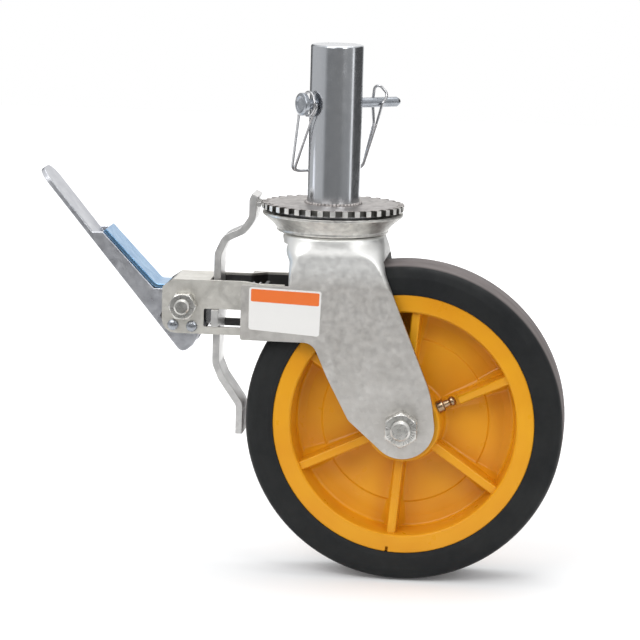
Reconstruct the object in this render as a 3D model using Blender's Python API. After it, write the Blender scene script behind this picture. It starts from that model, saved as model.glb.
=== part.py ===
"""Scaffold castor: an 8 inch wheel in a pressed fork that swivels under a round stem.

The frame's origin is where the swivel axis crosses the top face of the toothed plate.
+Z runs up the stem and +X points from the swivel axis towards the wheel. Pressing the
brake pedal slides the brake bar towards +X: its teeth enter the toothed plate and its
shoe meets the tyre, so one pedal stops both the swivel and the wheel.
"""

import math

import bmesh
import bpy
from mathutils import Matrix, Vector

MM = 0.001

# Fits
FIT = 0.3 * MM  # gap between pieces that touch or are welded
RUN = 0.1 * MM  # radial clearance of a running fit
NOTCH_PLAY = 0.7 * MM  # between a tooth of the brake bar and each side of its notch

# Stem and its cross hole
STEM_RADIUS = 16.8 * MM
STEM_LENGTH = 101 * MM
STEM_CHAMFER = 1.2 * MM
WELD_SIZE = 1.6 * MM
PIN_HEIGHT = 63.6 * MM
PIN_TURN = math.radians(36)
PIN_RADIUS = 3.2 * MM
PIN_HEAD_RADIUS = 7.2 * MM
PIN_HEAD_THICKNESS = 3.6 * MM
PIN_HEAD_FACE = 23 * MM  # from the stem's axis to the head's inner face
PIN_TAIL = 47 * MM

# Wire clip on the lock pin
WIRE_RADIUS = 0.9 * MM
COIL_RADIUS = 7.6 * MM
CLIP_DROP = 44.6 * MM  # from the pin's axis down to the runs behind the stem
CLIP_FRONT = 19 * MM  # from the stem's axis to the runs' corner on the head's side
CLIP_REACH = 32 * MM  # from the stem's axis to the corner on the tail's side
CLIP_SPACING = 2.6 * MM  # between the two runs
LOOP_RISE = 14 * MM
LOOP_WIDTH = 6.6 * MM

# Toothed plate and swivel bearing
PLATE_RADIUS = 45.4 * MM
PLATE_THICKNESS = 3.8 * MM
NOTCH_COUNT = 36
NOTCH_WIDTH = 4.4 * MM
NOTCH_DEPTH = 3.8 * MM
KINGPIN_RADIUS = 8 * MM
KINGPIN_GRIP = 22 * MM  # length of the kingpin inside the stem
BALL_RADIUS = 3.2 * MM
BALL_DROP = 6 * MM  # from the toothed plate's underside to the balls' middle
BALL_CIRCLE = 33 * MM
BALL_COUNT = 12
CUP_RADIUS = 44.8 * MM
CUP_FOOT_RADIUS = 35 * MM
CUP_GAP = 2 * MM  # from the plate down to the cup's rim
CUP_HEIGHT = 12.3 * MM
CUP_WALL = 2.8 * MM
CUP_BEAD = 0.7 * MM
LOWER_BALL_RADIUS = 2 * MM
LOWER_BALL_CIRCLE = 12 * MM
LOWER_BALL_COUNT = 5
LOWER_RACE_THICKNESS = 2 * MM
KINGPIN_NUT_FLATS = 22 * MM
KINGPIN_NUT_THICKNESS = 5.5 * MM

# Wheel
WHEEL_RADIUS = 101.6 * MM
TYRE_WIDTH = 50 * MM
WHEEL_FRONT = 51.2 * MM  # how far the tyre reaches ahead of the swivel axis
TYRE_DEPTH = 18.1 * MM  # from the tread down to the rim
RIM_DEPTH = 11.5 * MM
RIM_WIDTH = 47 * MM
HUB_RADIUS = 23.5 * MM
HUB_WIDTH = 52.4 * MM
WEB_THICKNESS = 6 * MM
RIB_COUNT = 6
RIB_THICKNESS = 6.4 * MM
RIB_WIDTH = 40 * MM
RIB_TURN = math.radians(25.2)
NIPPLE_TURN = math.radians(27)
NIPPLE_LENGTH = 12 * MM
NIPPLE_OFFSET = 17 * MM  # from the wheel's middle plane

# Axle
AXLE_RADIUS = 6.35 * MM
AXLE_NUT_FLATS = 19 * MM
AXLE_NUT_THICKNESS = 11 * MM
AXLE_HEAD_THICKNESS = 8 * MM
AXLE_END = 4.2 * MM  # bolt left showing past the nut
SLEEVE_WALL = 2.6 * MM
ROLLER_RADIUS = 1.75 * MM
ROLLER_COUNT = 8
WASHER_RADIUS = 17 * MM

# Fork
FORK_SHEET = 4 * MM
FORK_GAP = 58 * MM  # between the legs
WHEEL_TO_CROWN = 13.2 * MM
KINGPIN_ROOM = 1.1 * MM  # least gap from the tyre to the kingpin's nut
TYRE_ROOM = 4 * MM
LEG_END_RADIUS = 20.4 * MM
NECK_FRONT = 31.2 * MM
NECK_REAR = 33.2 * MM
NECK_HALF_WIDTH = 31.6 * MM
NECK_BEND = 3 * MM
NECK_LAP = 0.25 * MM  # how deep the neck's sides lie inside the legs' faces
NECK_HEIGHT = 26 * MM  # from the crown's top down to where the legs are flat
LEG_FRONT = 24.2 * MM  # from the swivel axis to the legs' front edge under the neck
LEG_REAR = 27.6 * MM  # from the swivel axis to the legs' rear edge at the crown's top
LEG_KNEE = 20.8 * MM  # above the axle, where the rear edge turns down
MOUTH_DROP = 2 * MM  # depth of the crown's short front wall
ARM_LENGTH = 54 * MM
ARM_TOP = 50.6 * MM
ARM_BOTTOM = 85.6 * MM
LEG_THROAT = 7.8 * MM  # where the arm's lower edge turns down into the leg
REAR_SLOPE = math.radians(22.5)  # lean of the legs' rear edge

# Brake housing
HOUSING_SHEET = 3 * MM
HOUSING_GAP = 35 * MM
HOUSING_FRONT = 106 * MM
HOUSING_BACK = 27 * MM
HOUSING_TOP = 50.1 * MM
HOUSING_BOTTOM = 84.8 * MM
WINDOW_LENGTH = 24.4 * MM
WINDOW_HEIGHT = 11.6 * MM
WINDOW_MARGIN = 4.8 * MM  # from the window down to the housing's lower edge
PIVOT_OFFSET = 92 * MM
PIVOT_DROP = 66.6 * MM
PIVOT_BOLT_RADIUS = 5 * MM
PIVOT_NUT_FLATS = 17 * MM
PIVOT_NUT_THICKNESS = 8 * MM
PIVOT_HEAD_THICKNESS = 6.4 * MM
PIVOT_END = 3 * MM
PIVOT_SLEEVE_WALL = 1.8 * MM
STOP_CIRCLE = 14.5 * MM
STOP_RADIUS = 2.7 * MM
STOP_HEAD_RADIUS = 3.6 * MM
STOP_TURN = math.radians(-68)
STOP_SPACING = math.radians(49)

# Pedal: a channel that is flat and round at its tip
PEDAL_SWING = math.radians(30)
PEDAL_TILT = math.radians(50.35)  # below the horizontal, towards the wheel
PEDAL_WIDTH = 32 * MM
PEDAL_SHEET = 3 * MM
PEDAL_LENGTH = 148 * MM
PEDAL_ARM = 123.9 * MM  # from the tip to the pivot, along the pedal
PEDAL_RISE = 21.5 * MM  # from the pedal's underside to the pivot
PEDAL_TIP_RADIUS = 11 * MM
CHEEK_START = 54.5 * MM
CHEEK_LEAD = 3 * MM
STRAP_SHEET = 2.5 * MM
STRAP_WIDTH = 30 * MM
STRAP_RISE = 10 * MM
STRAP_ROOF = 1.4 * MM  # from the strap up to the housing's top plate

# Brake bar
BAR_TRAVEL = 2.2 * MM
BAR_OFFSET = 71.85 * MM
BAR_THICKNESS = 4.5 * MM
BAR_WIDTH = 24 * MM
BAR_TOP = 4.4 * MM
BAR_LEAN = 1.6 * MM
TOOTH_GAP = 0.6 * MM  # from the bar's teeth to the plate, brake off
BAR_CLEARANCE = 0.4 * MM  # from the bar's face to the plate, brake on
TOOTH_COUNT = 3
EAR_REACH = 22.4 * MM  # from the middle plane to the end of each guide ear
SHOE_GAP = 2.5 * MM
SHOE_HEIGHT = 19 * MM
SHOE_DROP = 13 * MM  # from the axle's height down to the shoe's end
SERRATION_COUNT = 9
SERRATION_DEPTH = 0.8 * MM

# Return spring
SPRING_RADIUS = 6.2 * MM
SPRING_WIRE = 0.8 * MM
SPRING_TURNS = 6
SPRING_SEAT_OFFSET = 42.3 * MM
SPRING_SEAT_SHEET = 2.5 * MM
SPRING_DROP = 60 * MM

# Sizes that follow from the ones above
RIM_RADIUS = WHEEL_RADIUS - TYRE_DEPTH
RIM_INNER_RADIUS = RIM_RADIUS - RIM_DEPTH
AXLE_OFFSET = WHEEL_RADIUS - WHEEL_FRONT
CUP_RIM = -PLATE_THICKNESS - CUP_GAP
CUP_FOOT = CUP_RIM - CUP_HEIGHT
CROWN_TOP = CUP_FOOT - FIT
CROWN_UNDERSIDE = CROWN_TOP - FORK_SHEET
BALL_HEIGHT = -PLATE_THICKNESS - BALL_DROP
LOWER_BALL_HEIGHT = CROWN_UNDERSIDE - FIT - LOWER_BALL_RADIUS
LOWER_RACE_TOP = LOWER_BALL_HEIGHT - LOWER_BALL_RADIUS - FIT
LOWER_RACE_BOTTOM = LOWER_RACE_TOP - LOWER_RACE_THICKNESS
KINGPIN_END = LOWER_RACE_BOTTOM - FIT - KINGPIN_NUT_THICKNESS - 1 * MM
AXLE_UNDER_CROWN = CROWN_UNDERSIDE - WHEEL_TO_CROWN - WHEEL_RADIUS
KINGPIN_NUT_CORNER = KINGPIN_NUT_FLATS / math.sqrt(3)
AXLE_TO_NUT = math.sqrt((WHEEL_RADIUS + KINGPIN_ROOM) ** 2 - (AXLE_OFFSET - KINGPIN_NUT_CORNER) ** 2)
AXLE_HEIGHT = min(AXLE_UNDER_CROWN, KINGPIN_END - AXLE_TO_NUT)
LEG_OUTER = FORK_GAP / 2 + FORK_SHEET
LEG_FLAT = CROWN_TOP - NECK_HEIGHT
BAR_FACE = -BAR_OFFSET - BAR_THICKNESS / 2
BAR_TOOTH_FACE = -PLATE_RADIUS - BAR_CLEARANCE - BAR_TRAVEL
HOUSING_OUTER = HOUSING_GAP / 2 + HOUSING_SHEET
WINDOW_BOTTOM = -HOUSING_BOTTOM + WINDOW_MARGIN
WINDOW_TOP = WINDOW_BOTTOM + WINDOW_HEIGHT
SLEEVE_RADIUS = AXLE_RADIUS + RUN + SLEEVE_WALL
ROLLER_CIRCLE = SLEEVE_RADIUS + RUN + ROLLER_RADIUS
BORE_RADIUS = ROLLER_CIRCLE + ROLLER_RADIUS + RUN
PIVOT_SLEEVE_RADIUS = PIVOT_BOLT_RADIUS + RUN + PIVOT_SLEEVE_WALL


# Materials

def material(name, colour, roughness, metallic):
    made = bpy.data.materials.new(name)
    made.use_nodes = True
    shader = made.node_tree.nodes["Principled BSDF"]
    shader.inputs["Base Color"].default_value = (*colour, 1)
    shader.inputs["Roughness"].default_value = roughness
    shader.inputs["Metallic"].default_value = metallic
    return made


def zinc(name, shade=0.62, roughness=0.32):
    """Zinc-plated steel, a little cooler than neutral grey."""
    return material(name, (shade, shade, shade * 1.02), roughness, 1.0)


# Scene objects

def clear_scene():
    for old in list(bpy.data.objects):
        bpy.data.objects.remove(old)


def pivot(name, place, parent=None, turn=0.0):
    """An empty on a joint's axis. Its place is given in the world."""
    empty = bpy.data.objects.new(name, None)
    bpy.context.collection.objects.link(empty)
    empty.empty_display_size = 20 * MM
    empty.parent = parent
    home = Vector(parent["place"]) if parent else Vector((0, 0, 0))
    empty.location = Vector(place) - home
    empty.rotation_euler = (0, 0, turn)
    empty["place"] = tuple(place)
    return empty


def new_object(name, mesh_data, finish, parent, smooth=False):
    """An object from a bmesh, in its parent's own coordinates."""
    bmesh.ops.recalc_face_normals(mesh_data, faces=mesh_data.faces)
    mesh = bpy.data.meshes.new(name)
    mesh_data.to_mesh(mesh)
    mesh_data.free()
    made = bpy.data.objects.new(name, mesh)
    bpy.context.collection.objects.link(made)
    made.parent = parent
    if finish:
        mesh.materials.append(finish)
    if smooth:
        mesh.shade_smooth()
        mesh.set_sharp_from_angle(angle=math.radians(35))
    return made


def combine(target, tool, operation):
    """Cuts, joins or trims the target with a tool object, which is then only a guide."""
    tool.hide_render = True
    tool.display_type = "WIRE"
    step = target.modifiers.new(tool.name, "BOOLEAN")
    step.solver = "EXACT"
    step.operation = operation
    step.object = tool


def cut(target, tool):
    combine(target, tool, "DIFFERENCE")


def join(target, tool):
    combine(target, tool, "UNION")


def trim(target, tool):
    combine(target, tool, "INTERSECT")


# Outlines

def polar(radius, angle):
    return Vector((radius * math.cos(angle), radius * math.sin(angle)))


def arc(centre, radius, start, end, steps):
    """Points along an arc, with both its ends."""
    return [Vector(centre) + polar(radius, start + (end - start) * i / steps) for i in range(steps + 1)]


def fillet(before, corner, after, radius, steps):
    """The points that round one corner of a path."""
    a = (before - corner).normalized()
    b = (after - corner).normalized()
    half = a.angle(b) / 2
    if radius <= 0 or half > math.radians(89.5):
        return [corner]
    reach = min(radius / math.tan(half), 0.49 * (before - corner).length, 0.49 * (after - corner).length)
    radius = reach * math.tan(half)
    inwards = (a + b).normalized()
    sideways = (b - a).normalized()
    centre = corner + inwards * radius / math.sin(half)
    sweep = math.pi / 2 - half
    turns = [sweep * (2 * i / steps - 1) for i in range(steps + 1)]
    return [centre + radius * (sideways * math.sin(t) - inwards * math.cos(t)) for t in turns]


def rounded(corners, radius, steps=4, closed=True):
    """A path with its corners rounded. A corner may carry its own radius as (point, radius)."""
    marked = []
    for corner in corners:
        own = isinstance(corner, tuple) and isinstance(corner[0], Vector)
        marked.append(corner if own else (Vector(corner), radius))
    path = []
    for i, (corner, own) in enumerate(marked):
        if not closed and i in (0, len(marked) - 1):
            path.append(corner)
            continue
        before = marked[i - 1][0]
        after = marked[(i + 1) % len(marked)][0]
        path.extend(fillet(before, corner, after, own, steps))
    return path


def strip(path, thickness):
    """The outline of a bent strip whose middle line is the path."""
    left = []
    right = []
    for i, point in enumerate(path):
        before = path[max(i - 1, 0)]
        after = path[min(i + 1, len(path) - 1)]
        along = (after - before).normalized()
        across = Vector((-along.y, along.x)) * thickness / 2
        left.append(point + across)
        right.append(point - across)
    return left + right[::-1]


def hexagon(across_flats, turn=0.0):
    corner = across_flats / math.sqrt(3)
    return [polar(corner, turn + i * math.pi / 3) for i in range(6)]


# Solids

def add_block(shape, corners, step):
    """Adds a flat outline of points in space, drawn out by a step, as one closed body."""
    base = shape.faces.new([shape.verts.new(p) for p in corners])
    grown = bmesh.ops.extrude_face_region(shape, geom=[base])
    raised = [v for v in grown["geom"] if isinstance(v, bmesh.types.BMVert)]
    bmesh.ops.translate(shape, verts=raised, vec=step)


def prism(name, outline, low, high, finish=None, parent=None, axis="Y", smooth=False):
    """A flat outline drawn out along Y (outline in X and Z) or along Z (outline in X and Y)."""
    shape = bmesh.new()
    if axis == "Y":
        add_block(shape, [(p[0], low, p[1]) for p in outline], (0, high - low, 0))
    else:
        add_block(shape, [(p[0], p[1], low) for p in outline], (0, 0, high - low))
    return new_object(name, shape, finish, parent, smooth)


def turned(name, profile, finish=None, parent=None, axis="Z", centre=(0, 0, 0), segments=48, smooth=True):
    """A profile of (radius, height) pairs turned about an axis. A profile that starts and ends on
    the axis makes a solid, and one that stays off it is closed into a ring."""
    shape = bmesh.new()
    rings = []
    for radius, height in profile:
        if radius < 1e-9:
            rings.append([shape.verts.new(on_axis(axis, centre, 0, 0, height))] * segments)
            continue
        turns = [2 * math.pi * i / segments for i in range(segments)]
        rings.append([shape.verts.new(on_axis(axis, centre, *polar(radius, t), height)) for t in turns])
    ring = all(radius > 1e-9 for radius, _ in profile)
    pairs = list(zip(rings, rings[1:] + rings[:1])) if ring else list(zip(rings, rings[1:]))
    for first, second in pairs:
        for i in range(segments):
            j = (i + 1) % segments
            corners = [first[i], first[j], second[j], second[i]]
            shape.faces.new(list(dict.fromkeys(corners)))
    return new_object(name, shape, finish, parent, smooth)


def on_axis(axis, centre, across, along, height):
    x, y, z = centre
    if axis == "Z":
        return (x + across, y + along, z + height)
    if axis == "Y":
        return (x + across, y + height, z + along)
    return (x + height, y + across, z + along)


def rod(name, radius, low, high, **options):
    return turned(name, [(0, low), (radius, low), (radius, high), (0, high)], **options)


def tube(name, inner, outer, low, high, **options):
    return turned(name, [(inner, low), (outer, low), (outer, high), (inner, high)], **options)


def chamfered_hexagon(name, across_flats, low, high, finish, parent, centre=(0, 0, 0), axis="Y"):
    """A bolt head or nut: a hexagon with its corners turned off at both faces."""
    middle = Vector((centre[0], centre[2] if axis == "Y" else centre[1]))
    outline = [middle + p for p in hexagon(across_flats)]
    base = centre[1] if axis == "Y" else centre[2]
    made = prism(name, outline, base + low, base + high, finish, parent, axis)
    corner = across_flats / math.sqrt(3) + FIT
    flat = across_flats / 2 * 0.98
    drop = (corner - flat) * math.tan(math.radians(28))
    profile = [(0, low), (flat, low), (corner, low + drop), (corner, high - drop), (flat, high), (0, high)]
    trim(made, turned(f"{name}_chamfer", profile, parent=parent, axis=axis, centre=centre, segments=20))
    return made


def wire(name, path, radius, finish, parent, sides=2):
    """A round wire along a path of points."""
    curve = bpy.data.curves.new(name, "CURVE")
    curve.dimensions = "3D"
    curve.bevel_depth = radius
    curve.bevel_resolution = sides
    curve.use_fill_caps = True
    line = curve.splines.new("POLY")
    line.points.add(len(path) - 1)
    for point, place in zip(line.points, path):
        point.co = (*place, 1)
    curve.materials.append(finish)
    made = bpy.data.objects.new(name, curve)
    bpy.context.collection.objects.link(made)
    made.parent = parent
    return made


# Stem and swivel head

def make_stem(root):
    chamfer = STEM_RADIUS - STEM_CHAMFER
    profile = [(0, FIT), (STEM_RADIUS, FIT), (STEM_RADIUS, STEM_LENGTH - STEM_CHAMFER)]
    profile += [(chamfer, STEM_LENGTH), (0, STEM_LENGTH)]
    stem = turned("stem", profile, zinc("stem_zinc", 0.6, 0.25), root, segments=32)
    bore = KINGPIN_RADIUS + FIT
    cut(stem, rod("stem_bore", bore, -FIT, KINGPIN_GRIP + FIT, parent=root, segments=20))
    reach = 2 * STEM_RADIUS
    hole = rod("pin_hole", PIN_RADIUS + 0.2 * MM, -reach, reach, parent=root, axis="X", segments=20)
    hole.location.z = PIN_HEIGHT
    hole.rotation_euler.z = PIN_TURN
    cut(stem, hole)
    return stem


def toothed_outline():
    """A disc with square notches, one of them on the -X axis."""
    pitch = 2 * math.pi / NOTCH_COUNT
    half_notch = math.asin(NOTCH_WIDTH / 2 / PLATE_RADIUS)
    outline = []
    for i in range(NOTCH_COUNT):
        middle = math.pi + i * pitch
        outwards = polar(1, middle)
        sideways = polar(1, middle + math.pi / 2)
        root = outwards * (PLATE_RADIUS - NOTCH_DEPTH)
        outline.append(root - sideways * NOTCH_WIDTH / 2)
        outline.append(root + sideways * NOTCH_WIDTH / 2)
        outline += arc((0, 0), PLATE_RADIUS, middle + half_notch, middle + pitch - half_notch, 1)
    return outline


def make_toothed_plate(root):
    """The notched plate, with the weld that holds it to the stem."""
    finish = zinc("plate_zinc", 0.55, 0.4)
    plate = prism("toothed_plate", toothed_outline(), -PLATE_THICKNESS, 0, finish, root, "Z")
    inner = STEM_RADIUS + FIT
    outer = inner + WELD_SIZE
    buried = -PLATE_THICKNESS / 2
    weld = [(inner, buried), (outer, buried)] + arc((outer, WELD_SIZE), WELD_SIZE, -math.pi / 2, -math.pi, 3)
    join(plate, turned("weld", weld, parent=root, segments=20))
    bore = KINGPIN_RADIUS + FIT
    cut(plate, rod("plate_bore", bore, -2 * PLATE_THICKNESS, PLATE_THICKNESS, parent=root, segments=20))
    return plate


def race_groove(low_angle, high_angle):
    """The part of a ball groove between two angles, as (radius, height) points."""
    return arc((BALL_CIRCLE, BALL_HEIGHT), BALL_RADIUS + FIT, low_angle, high_angle, 3)


def make_upper_race(root):
    top = -PLATE_THICKNESS - FIT
    lower = BALL_HEIGHT + BALL_RADIUS * 0.6
    half = math.acos(0.6 * BALL_RADIUS / (BALL_RADIUS + FIT))
    groove = race_groove(math.pi / 2 - half, math.pi / 2 + half)
    inner = BALL_CIRCLE - BALL_RADIUS * 1.45
    outer = BALL_CIRCLE + BALL_RADIUS * 1.4
    profile = [(inner, lower), (inner, top), (outer, top), (outer, lower)] + groove
    return turned("upper_race", profile, zinc("race_steel", 0.5, 0.3), root, segments=32)


def make_bearing_cup(fork):
    """The turned cup that holds the swivel balls and closes the head from below."""
    groove = race_groove(-math.radians(25), -math.pi + math.radians(25))
    floor = CUP_FOOT + 2.8 * MM
    lip = CUP_FOOT + 1.4 * MM
    slope = CUP_RADIUS - CUP_FOOT_RADIUS
    drop = CUP_RIM - lip
    profile = [
        (CUP_RADIUS, CUP_RIM), (CUP_RADIUS, CUP_RIM - 1.4 * MM),
        (CUP_RADIUS - 0.42 * slope, CUP_RIM - 0.45 * drop),
        (CUP_FOOT_RADIUS + 0.34 * slope, CUP_RIM - 0.62 * drop),
        (CUP_FOOT_RADIUS + 0.06 * slope, lip + 0.6 * MM),
        (CUP_FOOT_RADIUS + CUP_BEAD, lip), (CUP_FOOT_RADIUS + CUP_BEAD, CUP_FOOT + 0.4 * MM),
        (CUP_FOOT_RADIUS, CUP_FOOT),
        (KINGPIN_RADIUS + 2 * MM, CUP_FOOT), (KINGPIN_RADIUS + 2 * MM, floor),
        (BALL_CIRCLE - BALL_RADIUS * 1.5, floor),
    ]
    profile += groove[::-1]
    inner = CUP_RADIUS - CUP_WALL
    profile += [(inner, CUP_RIM - 1.6 * MM), (inner, CUP_RIM)]
    return turned("bearing_cup", profile, zinc("cup_zinc", 0.6, 0.36), fork, segments=32)


def make_ball_ring(name, radius, circle, count, height, parent):
    """Balls in the thin cage that spaces them, as one body."""
    cage_half = radius * 0.35
    cage = tube(name, circle - cage_half, circle + cage_half, -radius * 0.15, radius * 0.15,
                finish=zinc(f"{name}_steel", 0.45, 0.2), parent=parent, centre=(0, 0, height), segments=20)
    balls = bmesh.new()
    for i in range(count):
        place = polar(circle, 2 * math.pi * (i + 0.5) / count)
        moved = Matrix.Translation((*place, height))
        bmesh.ops.create_uvsphere(balls, u_segments=5, v_segments=4, radius=radius, matrix=moved)
    join(cage, new_object(f"{name}_balls", balls, None, parent, smooth=True))
    return cage


def make_kingpin(root):
    top = KINGPIN_GRIP
    nut_top = LOWER_RACE_BOTTOM - FIT
    end = nut_top - KINGPIN_NUT_THICKNESS - 1 * MM
    point = KINGPIN_RADIUS - 1 * MM
    profile = [(0, end), (point, end), (KINGPIN_RADIUS, end + 1 * MM), (KINGPIN_RADIUS, top), (0, top)]
    turned("kingpin", profile, zinc("kingpin_steel", 0.5, 0.35), root, segments=20)
    nut = chamfered_hexagon("kingpin_nut", KINGPIN_NUT_FLATS, nut_top - KINGPIN_NUT_THICKNESS, nut_top,
                            zinc("kingpin_nut_zinc"), root, axis="Z")
    hole = KINGPIN_RADIUS + FIT
    cut(nut, rod("kingpin_nut_bore", hole, 2 * end, 0, parent=root, segments=20))


def make_lower_race(root):
    rim = LOWER_BALL_CIRCLE + LOWER_BALL_RADIUS * 1.8
    lip = LOWER_RACE_TOP + LOWER_BALL_RADIUS
    profile = [
        (KINGPIN_RADIUS + FIT, LOWER_RACE_BOTTOM), (rim - 1.2 * MM, LOWER_RACE_BOTTOM),
        (rim, LOWER_RACE_BOTTOM + 1.2 * MM), (rim, lip), (rim - 1.4 * MM, lip),
        (rim - 1.4 * MM, LOWER_RACE_TOP), (KINGPIN_RADIUS + FIT, LOWER_RACE_TOP),
    ]
    turned("lower_race", profile, zinc("lower_race_steel", 0.5, 0.3), root, segments=20)


# Fork

def smooth_step(value):
    clipped = min(max(value, 0.0), 1.0)
    return clipped * clipped * (3 - 2 * clipped)


def leg_rear(height):
    """X of the legs' rear edge, which leans back in a straight line from the neck."""
    return LEG_REAR + (CROWN_TOP - height) * math.tan(REAR_SLOPE)


def crown_ring(front, rear, half_width, squareness, height):
    """A closed ring of points: a circle at squareness 2, and a rectangle with round corners at 8."""
    count = 32
    middle = (front + rear) / 2
    reach = (rear - front) / 2
    fullness = 1 + 0.01 * (squareness - 2)
    ring = []
    for i in range(count):
        across, along = polar(1, 2 * math.pi * (i + 0.5) / count)
        x = min(fullness * abs(across) ** (2 / squareness), 1)
        y = min(fullness * abs(along) ** (2 / squareness), 1)
        ring.append((middle + math.copysign(x * reach, across), math.copysign(y * half_width, along), height))
    return ring


def neck_ring(height, inset):
    """The neck at one height, round under the cup and square where the legs are flat."""
    share = smooth_step((CROWN_TOP - height) / NECK_HEIGHT)
    front = -NECK_FRONT + (NECK_FRONT - LEG_FRONT) * min(1.4 * share, 1)
    rear = leg_rear(height) - NECK_LAP + (NECK_REAR - LEG_REAR) * (1 - share)
    half_width = NECK_HALF_WIDTH + (LEG_OUTER - NECK_LAP - NECK_HALF_WIDTH) * smooth_step(2 * share)
    squareness = 2.6 + 5.4 * share
    return crown_ring(front + inset, rear - inset, half_width - inset, squareness, height)


def crown_rings():
    """Rings from the crown's bore over its top, down the neck and back up inside it."""
    bore = KINGPIN_RADIUS + 1 * MM
    shoulder = CROWN_TOP - NECK_BEND
    steps = 5
    rings = [crown_ring(-bore, bore, bore, 2, CROWN_TOP)]
    for turn in (0, 30, 60):
        across, up = polar(NECK_BEND, math.radians(90 - turn))
        rings.append([(x, y, shoulder + up) for x, y, _ in neck_ring(shoulder, NECK_BEND - across)])
    heights = [shoulder + (LEG_FLAT - shoulder) * i / steps for i in range(steps + 1)]
    heights.append(LEG_FLAT - 8 * MM)
    rings += [neck_ring(height, 0) for height in heights]
    heights[0] = CROWN_UNDERSIDE
    rings += [neck_ring(height, FORK_SHEET - 2 * NECK_LAP) for height in heights[::-1]]
    rings.append(crown_ring(-bore, bore, bore, 2, CROWN_UNDERSIDE))
    return rings


def make_crown(fork):
    """The drawn top of the fork: a round neck that squares off into two flat legs."""
    shape = bmesh.new()
    grid = [[shape.verts.new(p) for p in ring] for ring in crown_rings()]
    for upper, lower in zip(grid, grid[1:] + grid[:1]):
        for j in range(len(upper)):
            k = (j + 1) % len(upper)
            shape.faces.new([upper[j], lower[j], lower[k], upper[k]])
    bmesh.ops.triangulate(shape, faces=shape.faces)
    return new_object("fork", shape, zinc("fork_zinc", 0.62, 0.34), fork, smooth=True)


def leg_outline():
    """One leg with its forward arm, seen from the side."""
    end = Vector((AXLE_OFFSET, AXLE_HEIGHT))
    top = LEG_FLAT - 2 * MM
    shoulder = top - 5 * MM
    knee_height = AXLE_HEIGHT + LEG_KNEE
    rear_turn = math.radians(4)
    front_turn = math.radians(-136)
    rear = [(leg_rear(shoulder), shoulder), (leg_rear(knee_height), knee_height)]
    rear = rounded(rear + [end + polar(LEG_END_RADIUS, rear_turn)], 90 * MM, closed=False)
    outline = rear + arc(end, LEG_END_RADIUS, rear_turn, front_turn, 12)[1:]
    throat = Vector((-LEG_THROAT, -ARM_BOTTOM))
    to_axle = end - throat
    below = rounded([
        outline[-1],
        throat + Vector((0.41 * to_axle.x, 0.94 * to_axle.y)),
        throat + Vector((0.17 * to_axle.x, 0.43 * to_axle.y)),
        throat,
        (Vector((-ARM_LENGTH, -ARM_BOTTOM)), 1.5 * MM),
        (Vector((-ARM_LENGTH, -ARM_TOP)), 1.5 * MM),
        (Vector((-LEG_FRONT, -ARM_TOP)), 1 * MM),
        (-LEG_FRONT + 3 * MM, top), (leg_rear(top) - 4 * MM, top),
    ], 9 * MM, closed=False)
    return outline + below[1:]


def make_fork(fork):
    crown = make_crown(fork)
    mouth_top = CROWN_UNDERSIDE - MOUTH_DROP
    inside = FORK_GAP / 2 - 5 * MM
    mouth = [(-2 * NECK_FRONT, mouth_top), (0, mouth_top), (0, 2 * LEG_FLAT), (-2 * NECK_FRONT, 2 * LEG_FLAT)]
    cut(crown, prism("mouth", mouth, -inside, inside, parent=fork))
    for side, low in (("near", -LEG_OUTER), ("far", FORK_GAP / 2)):
        join(crown, prism(f"{side}_leg", leg_outline(), low, low + FORK_SHEET, parent=fork))
    place = (AXLE_OFFSET, 0, AXLE_HEIGHT)
    half = TYRE_WIDTH / 2 + TYRE_ROOM / 2
    cut(crown, rod("tyre_arch", WHEEL_RADIUS + TYRE_ROOM, -half, half, parent=fork, axis="Y", centre=place))
    reach = 2 * LEG_OUTER
    hole = AXLE_RADIUS + FIT
    cut(crown, rod("axle_hole", hole, -reach, reach, parent=fork, axis="Y", centre=place, segments=20))
    return crown


# Axle and wheel

def make_axle(fork):
    place = (AXLE_OFFSET, 0, AXLE_HEIGHT)
    face = LEG_OUTER + FIT
    nut_end = face + AXLE_NUT_THICKNESS
    end = -(nut_end + AXLE_END)
    bevel = 1 * MM
    profile = [
        (0, end), (AXLE_RADIUS - bevel, end), (AXLE_RADIUS, end + bevel),
        (AXLE_RADIUS, face + AXLE_HEAD_THICKNESS / 2), (0, face + AXLE_HEAD_THICKNESS / 2),
    ]
    bolt = turned("axle_bolt", profile, zinc("axle_zinc", 0.6, 0.3), fork, "Y", place, 20)
    top = face + AXLE_HEAD_THICKNESS
    join(bolt, chamfered_hexagon("axle_head", AXLE_NUT_FLATS, face, top, None, fork, place))
    nut = chamfered_hexagon("axle_nut", AXLE_NUT_FLATS, -nut_end, -face, zinc("axle_nut_zinc"), fork, place)
    bore = AXLE_RADIUS + FIT
    cut(nut, rod("axle_nut_bore", bore, 2 * end, 0, parent=fork, axis="Y", centre=place, segments=20))
    half = FORK_GAP / 2 - FIT
    tube("axle_sleeve", AXLE_RADIUS + RUN, SLEEVE_RADIUS, -half, half, finish=zinc("sleeve_steel", 0.5, 0.3),
         parent=fork, axis="Y", centre=place, segments=20)
    inner = HUB_WIDTH / 2 + FIT
    for side, sign in (("near", -1), ("far", 1)):
        low, high = sorted((sign * inner, sign * half))
        tube(f"{side}_thrust_washer", SLEEVE_RADIUS + RUN, WASHER_RADIUS, low, high,
             finish=zinc(f"{side}_washer_zinc"), parent=fork, axis="Y", centre=place, segments=20)


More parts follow.
